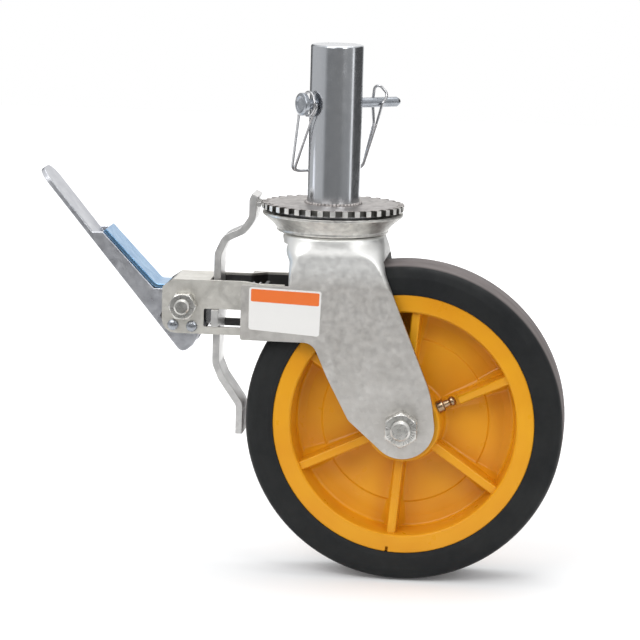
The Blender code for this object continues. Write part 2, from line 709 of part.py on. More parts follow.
def core_profile():
    """Half of the wheel core's section, from the bore out to the rim, as (radius, half width)."""
    hub = HUB_WIDTH / 2
    web = WEB_THICKNESS / 2
    rim = RIM_WIDTH / 2
    step_one = HUB_RADIUS + 0.63 * (RIM_INNER_RADIUS - HUB_RADIUS)
    step_two = HUB_RADIUS + 0.83 * (RIM_INNER_RADIUS - HUB_RADIUS)
    return [
        (BORE_RADIUS, hub), (HUB_RADIUS - 1.2 * MM, hub), (HUB_RADIUS, hub - 1.2 * MM),
        (HUB_RADIUS + 2 * MM, web + 2.4 * MM),
        (step_one - 1 * MM, web + 2 * MM), (step_one, web + 1 * MM),
        (step_two, web),
        (RIM_INNER_RADIUS - 2 * MM, web),
        (RIM_INNER_RADIUS, rim - 1 * MM), (RIM_INNER_RADIUS + 1 * MM, rim),
        (RIM_RADIUS, rim),
    ]


def radial_box(shape, angle, inner, outer, thickness, low, high):
    """A box that runs outwards from the wheel's axis at an angle."""
    outwards = polar(1, angle)
    sideways = polar(1, angle + math.pi / 2)
    corners = [
        outwards * inner - sideways * thickness / 2, outwards * outer - sideways * thickness / 2,
        outwards * outer + sideways * thickness / 2, outwards * inner + sideways * thickness / 2,
    ]
    add_block(shape, [(p.x, low, p.y) for p in corners], (0, high - low, 0))


def make_wheel_core(wheel):
    half = core_profile()
    profile = half + [(radius, -width) for radius, width in half[::-1]]
    yellow = material("wheel_yellow", (0.85, 0.42, 0.02), 0.4, 0.0)
    core = turned("wheel_core", profile, yellow, wheel, "Y", segments=48)
    ribs = bmesh.new()
    for i in range(RIB_COUNT):
        angle = RIB_TURN + 2 * math.pi * i / RIB_COUNT
        radial_box(ribs, angle, HUB_RADIUS - 2 * MM, RIM_INNER_RADIUS + 2 * MM, RIB_THICKNESS,
                   -RIB_WIDTH / 2, RIB_WIDTH / 2)
    join(core, new_object("ribs", ribs, None, wheel))
    pocket = bmesh.new()
    seat = HUB_RADIUS + FIT
    radial_box(pocket, NIPPLE_TURN, seat, seat + NIPPLE_LENGTH + 3 * MM, 12 * MM,
               -RIB_WIDTH, -NIPPLE_OFFSET + 5.2 * MM)
    cut(core, new_object("nipple_pocket", pocket, None, wheel))
    mark = bmesh.new()
    radial_box(mark, math.radians(-95.8), RIM_RADIUS - 3.5 * MM, RIM_RADIUS + 2 * MM, 1.8 * MM,
               -RIM_WIDTH, -RIM_WIDTH / 2 + 3 * MM)
    cut(core, new_object("rim_notch", mark, None, wheel))
    return core


def make_tyre(wheel):
    half_width = TYRE_WIDTH / 2
    inner = RIM_RADIUS + FIT
    half = [
        (inner, half_width), (WHEEL_RADIUS - 6.5 * MM, half_width),
        (WHEEL_RADIUS - 2.4 * MM, half_width - 1.6 * MM), (WHEEL_RADIUS, half_width - 6 * MM),
    ]
    profile = half + [(radius, -width) for radius, width in half[::-1]]
    rubber = material("tyre_rubber", (0.03, 0.032, 0.034), 0.62, 0.0)
    return turned("tyre", profile, rubber, wheel, "Y", segments=48)


def make_roller_bearing(wheel):
    """Loose rollers held by a ring at each end, as one body."""
    half = HUB_WIDTH / 2 - 1.5 * MM
    end = 2 * MM
    ring = ROLLER_RADIUS * 0.7
    steel = zinc("roller_steel", 0.45, 0.25)
    rollers = bmesh.new()
    for i in range(ROLLER_COUNT):
        place = polar(ROLLER_CIRCLE, 2 * math.pi * i / ROLLER_COUNT)
        moved = Matrix.Translation((place.x, 0, place.y)) @ Matrix.Rotation(math.pi / 2, 4, "X")
        bmesh.ops.create_cone(rollers, cap_ends=True, segments=5, radius1=ROLLER_RADIUS,
                              radius2=ROLLER_RADIUS, depth=2 * half - end, matrix=moved)
    bearing = new_object("roller_bearing", rollers, steel, wheel)
    for side, low in (("near", -half), ("far", half - end)):
        join(bearing, tube(f"{side}_cage", ROLLER_CIRCLE - ring, ROLLER_CIRCLE + ring, low, low + end,
                           parent=wheel, axis="Y", segments=16))
    return bearing


def make_grease_nipple(wheel):
    """A grease nipple that stands out of the hub, between the hub and a rib."""
    seat = HUB_RADIUS + FIT + 0.4 * MM
    tip = seat + NIPPLE_LENGTH
    profile = [
        (0, seat), (4 * MM, seat), (4 * MM, seat + 4 * MM), (2.6 * MM, seat + 4.6 * MM),
        (2.2 * MM, tip - 4 * MM),
        (3.2 * MM, tip - 2.6 * MM), (3.2 * MM, tip - 1.2 * MM), (2 * MM, tip), (0, tip),
    ]
    brass = material("nipple_steel", (0.36, 0.24, 0.13), 0.35, 1.0)
    nipple = turned("grease_nipple", profile, brass, wheel, "X", segments=12)
    place = Matrix.Rotation(-NIPPLE_TURN, 4, "Y")
    nipple.data.transform(Matrix.Translation((0, -NIPPLE_OFFSET, 0)) @ place)
    return nipple


# Brake housing

def housing_plan(side):
    """The wall's middle line seen from above: straight, then joggled out to lap the fork's arm."""
    inner = HOUSING_GAP / 2 + HOUSING_SHEET / 2
    lap = FORK_GAP / 2 - FIT - HOUSING_SHEET / 2
    joggle = ARM_LENGTH - 0.5 * MM
    run = (lap - inner) * 1.1
    corners = [(-HOUSING_FRONT, inner), (-joggle, inner), (-joggle + run, lap), (-HOUSING_BACK, lap)]
    return rounded([(x, side * y) for x, y in corners], 3 * MM, 3, closed=False)


def make_brake_housing(fork):
    """Two joggled side walls under a short top plate, all of one sheet."""
    low = -HOUSING_BOTTOM
    high = -HOUSING_TOP
    finish = zinc("housing_zinc", 0.55, 0.36)
    housing = prism("brake_housing", strip(housing_plan(-1), HOUSING_SHEET), low, high, finish, fork, "Z")
    join(housing, prism("far_wall", strip(housing_plan(1), HOUSING_SHEET), low, high, parent=fork, axis="Z"))
    roof = [(-HOUSING_FRONT, -HOUSING_OUTER), (BAR_FACE - 1.5 * MM, -HOUSING_OUTER),
            (BAR_FACE - 1.5 * MM, HOUSING_OUTER), (-HOUSING_FRONT, HOUSING_OUTER)]
    join(housing, prism("roof", roof, high - HOUSING_SHEET, high, parent=fork, axis="Z"))
    side = rounded([
        (Vector((-HOUSING_FRONT, low)), 9 * MM), (Vector((-HOUSING_BACK + 1 * MM, low)), 0),
        (Vector((-HOUSING_BACK + 1 * MM, high)), 0), (Vector((-HOUSING_FRONT + 7 * MM, high)), 2 * MM),
        (Vector((-HOUSING_FRONT, high - 5 * MM)), 3 * MM),
    ], 0)
    reach = FORK_GAP
    trim(housing, prism("housing_side", side, -reach, reach, parent=fork))
    window = rounded([
        (BAR_FACE - 5 * MM, WINDOW_BOTTOM), (BAR_FACE - 5 * MM + WINDOW_LENGTH, WINDOW_BOTTOM),
        (BAR_FACE - 5 * MM + WINDOW_LENGTH, WINDOW_TOP), (BAR_FACE - 5 * MM, WINDOW_TOP),
    ], 1 * MM, 2)
    cut(housing, prism("window", window, -reach, reach, parent=fork))
    for name, radius, place in housing_holes():
        cut(housing, rod(name, radius, -reach, reach, parent=fork, axis="Y", centre=place, segments=20))
    return housing


def pivot_place():
    return Vector((-PIVOT_OFFSET, 0, -PIVOT_DROP))


def stop_place(index):
    offset = polar(STOP_CIRCLE, STOP_TURN - index * STOP_SPACING)
    return pivot_place() + Vector((offset.x, 0, offset.y))


def housing_holes():
    holes = [("pivot_hole", PIVOT_BOLT_RADIUS + RUN, pivot_place())]
    for index in range(2):
        holes.append((f"stop_hole_{index}", STOP_RADIUS + RUN, stop_place(index)))
    return holes


def make_pivot_bolt(fork):
    place = pivot_place()
    face = HOUSING_OUTER + FIT
    nut_end = face + PIVOT_NUT_THICKNESS
    end = -(nut_end + PIVOT_END)
    bevel = 0.8 * MM
    profile = [
        (0, end), (PIVOT_BOLT_RADIUS - bevel, end), (PIVOT_BOLT_RADIUS, end + bevel),
        (PIVOT_BOLT_RADIUS, face + PIVOT_HEAD_THICKNESS / 2), (0, face + PIVOT_HEAD_THICKNESS / 2),
    ]
    bolt = turned("pivot_bolt", profile, zinc("pivot_bolt_zinc", 0.6, 0.3), fork, "Y", place, 20)
    top = face + PIVOT_HEAD_THICKNESS
    head = chamfered_hexagon("pivot_head", PIVOT_NUT_FLATS, face, top, None, fork, place)
    join(bolt, head)
    finish = zinc("pivot_nut_zinc")
    nut = chamfered_hexagon("pivot_nut", PIVOT_NUT_FLATS, -nut_end, -face, finish, fork, place)
    bore = PIVOT_BOLT_RADIUS + FIT
    cut(nut, rod("pivot_nut_bore", bore, 2 * end, 0, parent=fork, axis="Y", centre=place, segments=20))
    half = HOUSING_GAP / 2 - FIT
    tube("pivot_sleeve", PIVOT_BOLT_RADIUS + RUN, PIVOT_SLEEVE_RADIUS, -half, half,
         finish=zinc("pivot_sleeve_steel", 0.5, 0.3), parent=fork, axis="Y", centre=place, segments=28)


def make_stop_pins(fork):
    """Two rivets across the housing that end the pedal's swing, one each way."""
    face = HOUSING_OUTER + FIT
    dome = 1.8 * MM
    for index, name in enumerate(("rear_stop_pin", "front_stop_pin")):
        head = [(0, -face - dome), (STOP_HEAD_RADIUS * 0.6, -face - dome * 0.85), (STOP_HEAD_RADIUS, -face)]
        profile = head + [(STOP_RADIUS, -face), (STOP_RADIUS, face)]
        profile += [(radius, -height) for radius, height in head[::-1]]
        turned(name, profile, zinc(f"{name}_zinc"), fork, "Y", stop_place(index), 16)


def make_return_spring(fork):
    start = BAR_FACE + BAR_THICKNESS + SPRING_WIRE + FIT
    end = -SPRING_SEAT_OFFSET - SPRING_WIRE - FIT
    steps = 8 * SPRING_TURNS
    path = []
    for i in range(steps + 1):
        turn = 2 * math.pi * SPRING_TURNS * i / steps
        across, up = polar(SPRING_RADIUS, turn)
        path.append((start + (end - start) * i / steps, across, -SPRING_DROP + up))
    wire("return_spring", path, SPRING_WIRE, zinc("spring_steel", 0.4, 0.3), fork, sides=0)
    lap = FORK_GAP / 2 - HOUSING_SHEET - 2 * FIT
    front = -SPRING_SEAT_OFFSET
    back = front + SPRING_SEAT_SHEET
    foot = -HOUSING_BOTTOM + 4 * MM
    seat = [(front, foot), (back, foot), (back, -HOUSING_TOP), (front, -HOUSING_TOP)]
    prism("spring_seat", seat, -lap, lap, zinc("spring_seat_zinc"), fork)


# Pedal

def on_pedal(along, up):
    """A point of the pedal's side view, from the pivot, given along the pedal from its tip and
    up from its underside."""
    down = Vector((math.cos(PEDAL_TILT), -math.sin(PEDAL_TILT)))
    out = Vector((math.sin(PEDAL_TILT), math.cos(PEDAL_TILT)))
    return down * (along - PEDAL_ARM) + out * (up - PEDAL_RISE)


def strap_path():
    """The strap's middle line: up the cheeks, then level into the housing above the pivot."""
    level = PIVOT_DROP - HOUSING_TOP - HOUSING_SHEET - STRAP_ROOF - STRAP_SHEET / 2
    start = on_pedal(CHEEK_START + 1 * MM, STRAP_RISE)
    slope = PEDAL_TILT - math.radians(4.2)
    run = (start.y - level) / math.tan(slope)
    return [start, Vector((start.x + run, level)), Vector((-2.5 * MM, level))]


def cheek_top():
    """The line just under the strap, from the cheek's start to the ear."""
    start, bend, end = strap_path()
    drop = STRAP_SHEET / 2 + FIT
    slope = (bend - start).normalized()
    below = Vector((slope.y, -slope.x)) * drop
    crossing = bend.x - drop * math.tan(math.atan2(-slope.y, slope.x) / 2)
    return [start + below, Vector((crossing, bend.y - drop)), Vector((end.x + 2.5 * MM, end.y - drop))]


def pedal_outline():
    """Side view of the channel: flat at the tip, with cheeks that grow towards the pivot."""
    stop_edge = STOP_CIRCLE + STOP_RADIUS + 2.4 * MM
    top = cheek_top()
    ear = top[2].y
    lower_end = rounded([on_pedal(PEDAL_LENGTH - 14 * MM, 0), on_pedal(PEDAL_LENGTH, 0),
                         on_pedal(PEDAL_LENGTH, 9 * MM)], 5 * MM, closed=False)
    corner_turn = math.atan2(lower_end[-1].y, lower_end[-1].x)
    outline = [on_pedal(0, 0)] + lower_end
    outline += arc((0, 0), stop_edge, corner_turn + math.radians(24), math.radians(-46), 3)
    outline += arc((0, 0), ear, math.radians(-30), math.radians(90), 6)
    outline += [top[1], top[0], on_pedal(CHEEK_START - CHEEK_LEAD, PEDAL_SHEET), on_pedal(0, PEDAL_SHEET)]
    return outline


def make_pedal(pedal):
    half = PEDAL_WIDTH / 2
    steel = zinc("pedal_zinc", 0.62, 0.3)
    body = prism("pedal", pedal_outline(), -half, half, steel, pedal)
    far_out = 60 * MM
    start = CHEEK_START - CHEEK_LEAD
    hollow = [on_pedal(start, PEDAL_SHEET), on_pedal(PEDAL_LENGTH + far_out, PEDAL_SHEET),
              on_pedal(PEDAL_LENGTH + far_out, far_out), on_pedal(start, far_out)]
    inside = half - PEDAL_SHEET
    cut(body, prism("pedal_hollow", hollow, -inside, inside, parent=pedal))
    cut(body, tip_corners(pedal))
    bore = PIVOT_SLEEVE_RADIUS + RUN
    cut(body, rod("pedal_bore", bore, -PEDAL_WIDTH, PEDAL_WIDTH, parent=pedal, axis="Y", segments=28))
    cut(body, stop_slot(pedal))
    return body


def tip_corners(pedal):
    """What is taken off the plate to round its tip, seen square on to the plate."""
    half = PEDAL_WIDTH / 2
    tip = PEDAL_TIP_RADIUS
    spare = 2 * MM
    shape = bmesh.new()
    for side in (-1, 1):
        curve = arc((tip, half - tip), tip, math.pi, math.pi / 2, 6)
        outline = [Vector((-spare, half - tip))] + curve
        outline += [Vector((tip, half + spare)), Vector((-spare, half + spare))]
        add_block(shape, [(p.x, side * p.y, -spare) for p in outline], (0, 0, PEDAL_SHEET + 2 * spare))
    guide = new_object("tip_corners", shape, None, pedal)
    corner = on_pedal(0, 0)
    turn = Matrix.Rotation(PEDAL_TILT, 4, "Y")
    guide.data.transform(Matrix.Translation((corner.x, 0, corner.y)) @ turn)
    return guide


def stop_slot(pedal):
    """The curved slot in both cheeks that the stop pins run in."""
    play = 0.4 * MM
    half = STOP_RADIUS + play
    inner = STOP_CIRCLE - half
    outer = STOP_CIRCLE + half
    last = STOP_TURN
    first = STOP_TURN - STOP_SPACING - PEDAL_SWING
    outline = arc((0, 0), outer, first, last, 14)
    outline += arc(polar(STOP_CIRCLE, last), half, last, last + math.pi, 6)[1:-1]
    outline += arc((0, 0), inner, last, first, 14)
    outline += arc(polar(STOP_CIRCLE, first), half, first + math.pi, first + 2 * math.pi, 6)[1:-1]
    return prism("stop_slot", outline, -PEDAL_WIDTH, PEDAL_WIDTH, parent=pedal)


def make_pedal_strap(pedal):
    half = STRAP_WIDTH / 2
    path = rounded(strap_path(), 5 * MM, 4, closed=False)
    prism("pedal_strap", strip(path, STRAP_SHEET), -half, half, zinc("strap_zinc", 0.6, 0.25), pedal)


def make_cam(pedal):
    """A cam whose flank is an involute, so the bar moves in step with the pedal. The distance from
    the pivot to the flank's tangent falls evenly with the angle of its normal."""
    rate = BAR_TRAVEL / PEDAL_SWING
    rest = PIVOT_OFFSET + BAR_FACE - FIT
    hub = PIVOT_SLEEVE_RADIUS + 2.6 * MM
    flank = []
    for i in range(11):
        turn = math.radians(16) - (PEDAL_SWING + math.radians(20)) * i / 10
        normal = polar(1, turn)
        tangent = polar(1, turn + math.pi / 2)
        flank.append(normal * (rest - rate * turn) - tangent * rate)
    outline = flank + arc((0, 0), hub, math.radians(-52), math.radians(-310), 16)
    half = PEDAL_WIDTH / 2 - PEDAL_SHEET - FIT
    cam = prism("cam", outline, -half, half, zinc("cam_steel", 0.5, 0.4), pedal)
    bore = PIVOT_SLEEVE_RADIUS + RUN
    cut(cam, rod("cam_bore", bore, -PEDAL_WIDTH, PEDAL_WIDTH, parent=pedal, axis="Y", segments=28))
    return cam


# Brake bar

def bar_path():
    """The bar's middle line in the castor's side view, from its top end to its shoe."""
    tooth_x = BAR_TOOTH_FACE - BAR_THICKNESS / 2
    shoe_x = AXLE_OFFSET - WHEEL_RADIUS - SHOE_GAP - BAR_THICKNESS / 2
    shoe_end = AXLE_HEIGHT - SHOE_DROP
    shoe_top = shoe_end + SHOE_HEIGHT
    drop = BAR_OFFSET + shoe_x
    return [
        Vector((tooth_x + BAR_LEAN, BAR_TOP)),
        Vector((tooth_x, 1 * MM)),
        Vector((tooth_x, -10 * MM)),
        Vector((tooth_x - 5.5 * MM, -18.5 * MM)),
        Vector((tooth_x - 17 * MM, -24 * MM)),
        Vector((-BAR_OFFSET, -34 * MM)),
        Vector((-BAR_OFFSET, shoe_top + drop * 1.66)),
        Vector((-BAR_OFFSET + drop * 0.24, shoe_top + drop * 1.08)),
        Vector((shoe_x, shoe_top)),
        Vector((shoe_x, shoe_end)),
    ]


def bar_local(point):
    return Vector((point[0] + BAR_OFFSET, point[1] + PIVOT_DROP))


def make_brake_bar(bar):
    half = BAR_WIDTH / 2
    corners = [bar_local(p) for p in bar_path()]
    corners[1] = (corners[1], 3 * MM)
    path = rounded(corners, 7 * MM, 4, closed=False)
    steel = zinc("bar_zinc", 0.6, 0.3)
    made = prism("brake_bar", strip(path, BAR_THICKNESS), -half, half, steel, bar)
    low = WINDOW_BOTTOM + 0.4 * MM
    high = WINDOW_TOP - 0.4 * MM
    ear = [bar_local((-BAR_OFFSET + side * BAR_THICKNESS / 2, height))
           for side, height in ((-1, low), (1, low), (1, high), (-1, high))]
    join(made, prism("guide_ears", ear, -EAR_REACH, EAR_REACH, parent=bar))
    join(made, bar_teeth(bar))
    cut(made, shoe_serrations(bar))
    return made


def bar_teeth(bar):
    """Short teeth on the bar that face the toothed plate's notches."""
    tip_radius = PLATE_RADIUS + TOOTH_GAP
    half = NOTCH_WIDTH / 2 - NOTCH_PLAY
    low = -PLATE_THICKNESS + 0.6 * MM
    shape = bmesh.new()
    middle = (TOOTH_COUNT - 1) / 2
    for i in range(TOOTH_COUNT):
        turn = math.pi + (i - middle) * 2 * math.pi / NOTCH_COUNT
        tip = polar(tip_radius, turn)
        base = BAR_TOOTH_FACE - 1 * MM
        corners = ((base, low), (tip.x, low), (tip.x, -0.4 * MM), (base, -0.4 * MM))
        ends = [bar_local(corner) for corner in corners]
        add_block(shape, [(p.x, tip.y - half, p.y) for p in ends], (0, 2 * half, 0))
    return new_object("bar_teeth", shape, None, bar)


def shoe_serrations(bar):
    """Grooves across the face of the shoe that grips the tyre."""
    face = AXLE_OFFSET - WHEEL_RADIUS - SHOE_GAP
    low = AXLE_HEIGHT - SHOE_DROP
    pitch = (SHOE_HEIGHT - 4 * MM) / SERRATION_COUNT
    shape = bmesh.new()
    for i in range(SERRATION_COUNT):
        middle = low + pitch * (i + 0.8)
        mouth = pitch * 0.42
        corners = [bar_local((face - SERRATION_DEPTH, middle)), bar_local((face + 1 * MM, middle + mouth)),
                   bar_local((face + 1 * MM, middle - mouth))]
        add_block(shape, [(p.x, -BAR_WIDTH, p.y) for p in corners], (0, 2 * BAR_WIDTH, 0))
    return new_object("shoe_serrations", shape, None, bar)


# Lock pin

def make_lock_pin(pin):
    """A round pin along its own X axis, with a dished head at the near end."""
    head = PIN_HEAD_FACE
    back = head + PIN_HEAD_THICKNESS
    profile = [
        (0, -back + 0.8 * MM), (PIN_HEAD_RADIUS * 0.55, -back + 0.8 * MM), (PIN_HEAD_RADIUS * 0.75, -back),
        (PIN_HEAD_RADIUS, -back + 0.8 * MM), (PIN_HEAD_RADIUS, -head), (PIN_RADIUS, -head),
        (PIN_RADIUS, PIN_TAIL - 2 * MM), (PIN_RADIUS * 0.6, PIN_TAIL), (0, PIN_TAIL),
    ]
    return turned("lock_pin", profile, zinc("pin_zinc", 0.5, 0.35), pin, "X", segments=16)


def clip_path():
    """The clip's wire, in the pin's coordinates: along the pin, across it and up. Returns the coil
    and the loose run, which goes behind the stem, round the pin's tail and back."""
    near = STEM_RADIUS + WIRE_RADIUS + 1 * MM  # coil turn nearest the stem
    far = near + 2 * WIRE_RADIUS + 0.5 * MM
    beside = PIN_RADIUS + WIRE_RADIUS + FIT
    behind = STEM_RADIUS + WIRE_RADIUS + 0.8 * MM
    coil = []
    steps = 22
    for i in range(steps + 1):
        turn = -3 * math.pi * i / steps
        across, up = polar(COIL_RADIUS, turn)
        coil.append(Vector((-far + (far - near) * i / steps, across, up)))
    middle = CLIP_REACH - LOOP_WIDTH / 3
    inner = [
        (-CLIP_FRONT, behind, -CLIP_DROP), (CLIP_REACH, behind, -CLIP_DROP),
        (middle, -beside / 4, -LOOP_RISE), (CLIP_REACH, -beside, 0),
        (CLIP_REACH + 0.7 * LOOP_WIDTH, -0.8 * beside, 0.35 * LOOP_RISE), (middle, beside / 3, LOOP_RISE),
    ]
    outer = [
        (middle, beside, 0), (CLIP_REACH - WIRE_RADIUS, beside, -LOOP_RISE),
        (CLIP_REACH + 0.6 * CLIP_SPACING, behind + CLIP_SPACING, -CLIP_DROP),
        (-CLIP_FRONT, behind + CLIP_SPACING, -CLIP_DROP), (-far, COIL_RADIUS + CLIP_SPACING, -COIL_RADIUS),
    ]
    return coil, [Vector(p) for p in inner + outer]


def make_pin_clip(pin):
    """One wire: a coil round the pin, two runs behind the stem and a loop round the pin's tail."""
    coil, loose = clip_path()
    line = coil + rounded(coil[-1:] + loose, 4 * MM, 3, closed=False)
    return wire("pin_clip", line, WIRE_RADIUS, zinc("clip_steel", 0.5, 0.3), pin, sides=1)


# Assembly

def build():
    clear_scene()
    root = pivot("castor", (0, 0, 0))
    fork = pivot("swivel", (0, 0, 0), root)
    wheel = pivot("wheel_axis", (AXLE_OFFSET, 0, AXLE_HEIGHT), fork)
    pedal = pivot("pedal_axis", tuple(pivot_place()), fork)
    bar = pivot("bar_slide", (-BAR_OFFSET, 0, -PIVOT_DROP), fork)
    pin = pivot("pin_axis", (0, 0, PIN_HEIGHT), root, PIN_TURN)

    make_stem(root)
    make_toothed_plate(root)
    make_upper_race(root)
    make_kingpin(root)
    make_lower_race(root)

    make_fork(fork)
    make_bearing_cup(fork)
    make_ball_ring("swivel_balls", BALL_RADIUS, BALL_CIRCLE, BALL_COUNT, BALL_HEIGHT, fork)
    make_ball_ring("lower_balls", LOWER_BALL_RADIUS, LOWER_BALL_CIRCLE, LOWER_BALL_COUNT,
                   LOWER_BALL_HEIGHT, fork)
    make_axle(fork)
    make_brake_housing(fork)
    make_pivot_bolt(fork)
    make_stop_pins(fork)
    make_return_spring(fork)

    make_wheel_core(wheel)
    make_tyre(wheel)
    make_roller_bearing(wheel)
    make_grease_nipple(wheel)

    make_pedal(pedal)
    make_pedal_strap(pedal)
    make_cam(pedal)
    make_brake_bar(bar)

    make_lock_pin(pin)
    make_pin_clip(pin)


build()
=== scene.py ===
# %% [markdown]
# # A scaffold castor
# This lesson dresses the castor's solids: a yellow plastic wheel with a black tyre, under a
# swivel head of zinc-plated pressings. The solids carry the true sizes and the joints. What we
# add is what a solid modeller leaves out: rolled edges, weld ripples, threads, fine curves and
# cloudy plating.

# %% Load the solids
import math

import bmesh
import bpy
from mathutils import Matrix, Vector


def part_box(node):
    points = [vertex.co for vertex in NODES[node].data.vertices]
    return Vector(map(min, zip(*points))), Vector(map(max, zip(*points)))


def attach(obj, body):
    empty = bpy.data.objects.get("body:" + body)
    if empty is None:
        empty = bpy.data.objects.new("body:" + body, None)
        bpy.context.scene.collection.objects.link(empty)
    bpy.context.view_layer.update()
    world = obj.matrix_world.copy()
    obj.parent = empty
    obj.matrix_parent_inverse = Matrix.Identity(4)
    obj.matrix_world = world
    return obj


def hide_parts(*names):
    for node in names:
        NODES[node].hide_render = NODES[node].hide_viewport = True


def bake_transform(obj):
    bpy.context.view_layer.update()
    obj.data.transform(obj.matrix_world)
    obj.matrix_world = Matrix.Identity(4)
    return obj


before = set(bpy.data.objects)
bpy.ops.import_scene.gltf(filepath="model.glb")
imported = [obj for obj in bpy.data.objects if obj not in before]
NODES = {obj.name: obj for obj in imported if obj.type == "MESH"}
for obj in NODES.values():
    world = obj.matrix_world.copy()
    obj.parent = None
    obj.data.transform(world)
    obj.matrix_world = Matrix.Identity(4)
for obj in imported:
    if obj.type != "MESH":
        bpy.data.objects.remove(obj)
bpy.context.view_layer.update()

MM = 0.001
SCENE = bpy.context.scene

# %% [markdown]
# ## Outlines
# Most parts of a castor are turned on a lathe, bent from sheet or moulded. All of these start as
# an outline, so we begin with small helpers for arcs and rounded corners. Every outline in this
# lesson is drawn in millimetres, because that is how such parts are measured.

# %% Arcs and rounded corners
def polar(radius, angle):
    return Vector((radius * math.cos(angle), radius * math.sin(angle)))


def arc(centre, radius, start, end, steps):
    """Points along an arc, with both its ends."""
    return [Vector(centre) + polar(radius, start + (end - start) * i / steps) for i in range(steps + 1)]


def fillet(before, corner, after, radius, steps):
    """The points that round one corner of a path."""
    a = (before - corner).normalized()
    b = (after - corner).normalized()
    half = a.angle(b) / 2
    if radius <= 0 or half > math.radians(89.5):
        return [corner]
    shorter = min((before - corner).length, (after - corner).length)
    reach = min(radius / math.tan(half), 0.49 * shorter)
    radius = reach * math.tan(half)
    inwards = (a + b).normalized()
    sideways = (b - a).normalized()
    centre = corner + inwards * radius / math.sin(half)
    sweep = math.pi / 2 - half
    turns = [sweep * (2 * i / steps - 1) for i in range(steps + 1)]
    return [centre + radius * (sideways * math.sin(t) - inwards * math.cos(t)) for t in turns]


def rounded(corners, radius=0, steps=6, closed=True):
    """A path with rounded corners. A flat corner may carry its own radius as a third number."""
    path = []
    solid = isinstance(corners[0], Vector) and len(corners[0]) == 3
    points = [c.copy() if solid else Vector(c[:2]) for c in corners]
    for i, corner in enumerate(corners):
        own = radius if solid or len(corner) < 3 else corner[2]
        if not closed and i in (0, len(corners) - 1):
            path.append(points[i])
        else:
            path += fillet(points[i - 1], points[i], points[(i + 1) % len(points)], own, steps)
    return path


one_corner = rounded([(0, 0), (9, 0), (9, 9)], 2, closed=False)
print("a rounded corner takes", len(one_corner) - 2, "points")

# %% [markdown]
# Two sections come up so often that they get names: a plain round bar, for bolts and for the
# cutters of round holes, and a section that is the same on both sides of a wheel's middle.

# %% Sections that come up often
def rod(radius, low, high):
    """The section of a plain round bar, from its axis out and back."""
    return [(0, low), (radius, low), (radius, high), (0, high)]


def mirrored(half):
    """A wheel's whole section from the half on one side of its middle plane."""
    return half + [(corner[0], -corner[1], *corner[2:]) for corner in half[::-1]]


print("a bar's section has", len(rod(1, 0, 1)), "corners")

# %% [markdown]
# ## From outline to mesh
# One helper spins a section about an axis and the other draws an outline out to a thickness.
# Both build the mesh where it belongs, so each object keeps its origin on the swivel axis and
# can ride on a moving body without a jump.

# %% Meshes from outlines
def keep_mesh(name, shape, scale=MM):
    """A mesh object from a bmesh drawn in millimetres. Only true corners are left sharp."""
    bmesh.ops.scale(shape, vec=(scale, scale, scale), verts=shape.verts)
    bmesh.ops.remove_doubles(shape, verts=shape.verts, dist=0.002 * MM)
    bmesh.ops.recalc_face_normals(shape, faces=shape.faces)
    mesh = bpy.data.meshes.new(name)
    shape.to_mesh(mesh)
    shape.free()
    made = bpy.data.objects.new(name, mesh)
    SCENE.collection.objects.link(made)
    return smoothed(made)


def smoothed(made, below=32):
    """Smooth shading, with a crease wherever two faces meet at a larger angle, in degrees."""
    made.data.shade_smooth()
    made.data.set_sharp_from_angle(angle=math.radians(below))
    return made


def on_axis(axis, centre, across, beside, height):
    """A place from two measures across an axis and one along it."""
    x, y, z = centre
    if axis == "Z":
        return (x + across, y + beside, z + height)
    if axis == "Y":
        return (x + across, y + height, z + beside)
    return (x + height, y + across, z + beside)


def spun(name, section, axis="Z", centre=(0, 0, 0), segments=96):
    """A section of (radius, height) points spun about an axis."""
    shape = bmesh.new()
    rings = []
    turns = [2 * math.pi * i / segments for i in range(segments)]
    for radius, height in section:
        if radius < 1e-4:
            rings.append([shape.verts.new(on_axis(axis, centre, 0, 0, height))] * segments)
        else:
            places = [on_axis(axis, centre, *polar(radius, turn), height) for turn in turns]
            rings.append([shape.verts.new(place) for place in places])
    is_ring = all(radius > 1e-4 for radius, _ in section)
    following = rings[1:] + rings[:1] if is_ring else rings[1:]
    for first, second in zip(rings, following):
        for i in range(segments):
            j = (i + 1) % segments
            shape.faces.new(list(dict.fromkeys([first[i], first[j], second[j], second[i]])))
    return keep_mesh(name, shape)


def drawn_out(name, outline, low, high, axis="Y", bevel=0.0):
    """An outline drawn out from low to high along an axis."""
    shape = bmesh.new()
    flat = [on_axis(axis, (0, 0, 0), point[0], point[1], low) for point in outline]
    base = shape.faces.new([shape.verts.new(place) for place in flat])
    grown = bmesh.ops.extrude_face_region(shape, geom=[base])
    raised = [v for v in grown["geom"] if isinstance(v, bmesh.types.BMVert)]
    bmesh.ops.translate(shape, verts=raised, vec=on_axis(axis, (0, 0, 0), 0, 0, high - low))
    made = keep_mesh(name, shape)
    return soften(made, bevel) if bevel else made


# %% [markdown]
# ## Edges, cuts and joins
# No edge on a real part is quite sharp. A bevel rounds it, as a press tool, a mould or a tumbling
# drum does. A Boolean cuts holes and joins shapes, as a drill and a weld do. Each is a modifier
# whose result we keep at once as a plain mesh, so the next step finds true faces to work on.

# %% Edges, cuts and joins
def bake_modifiers(made):
    """Keeps the result of a piece's modifiers as its plain mesh."""
    evaluated = made.evaluated_get(bpy.context.evaluated_depsgraph_get())
    mesh = bpy.data.meshes.new_from_object(evaluated)
    made.modifiers.clear()
    made.data = mesh
    return made


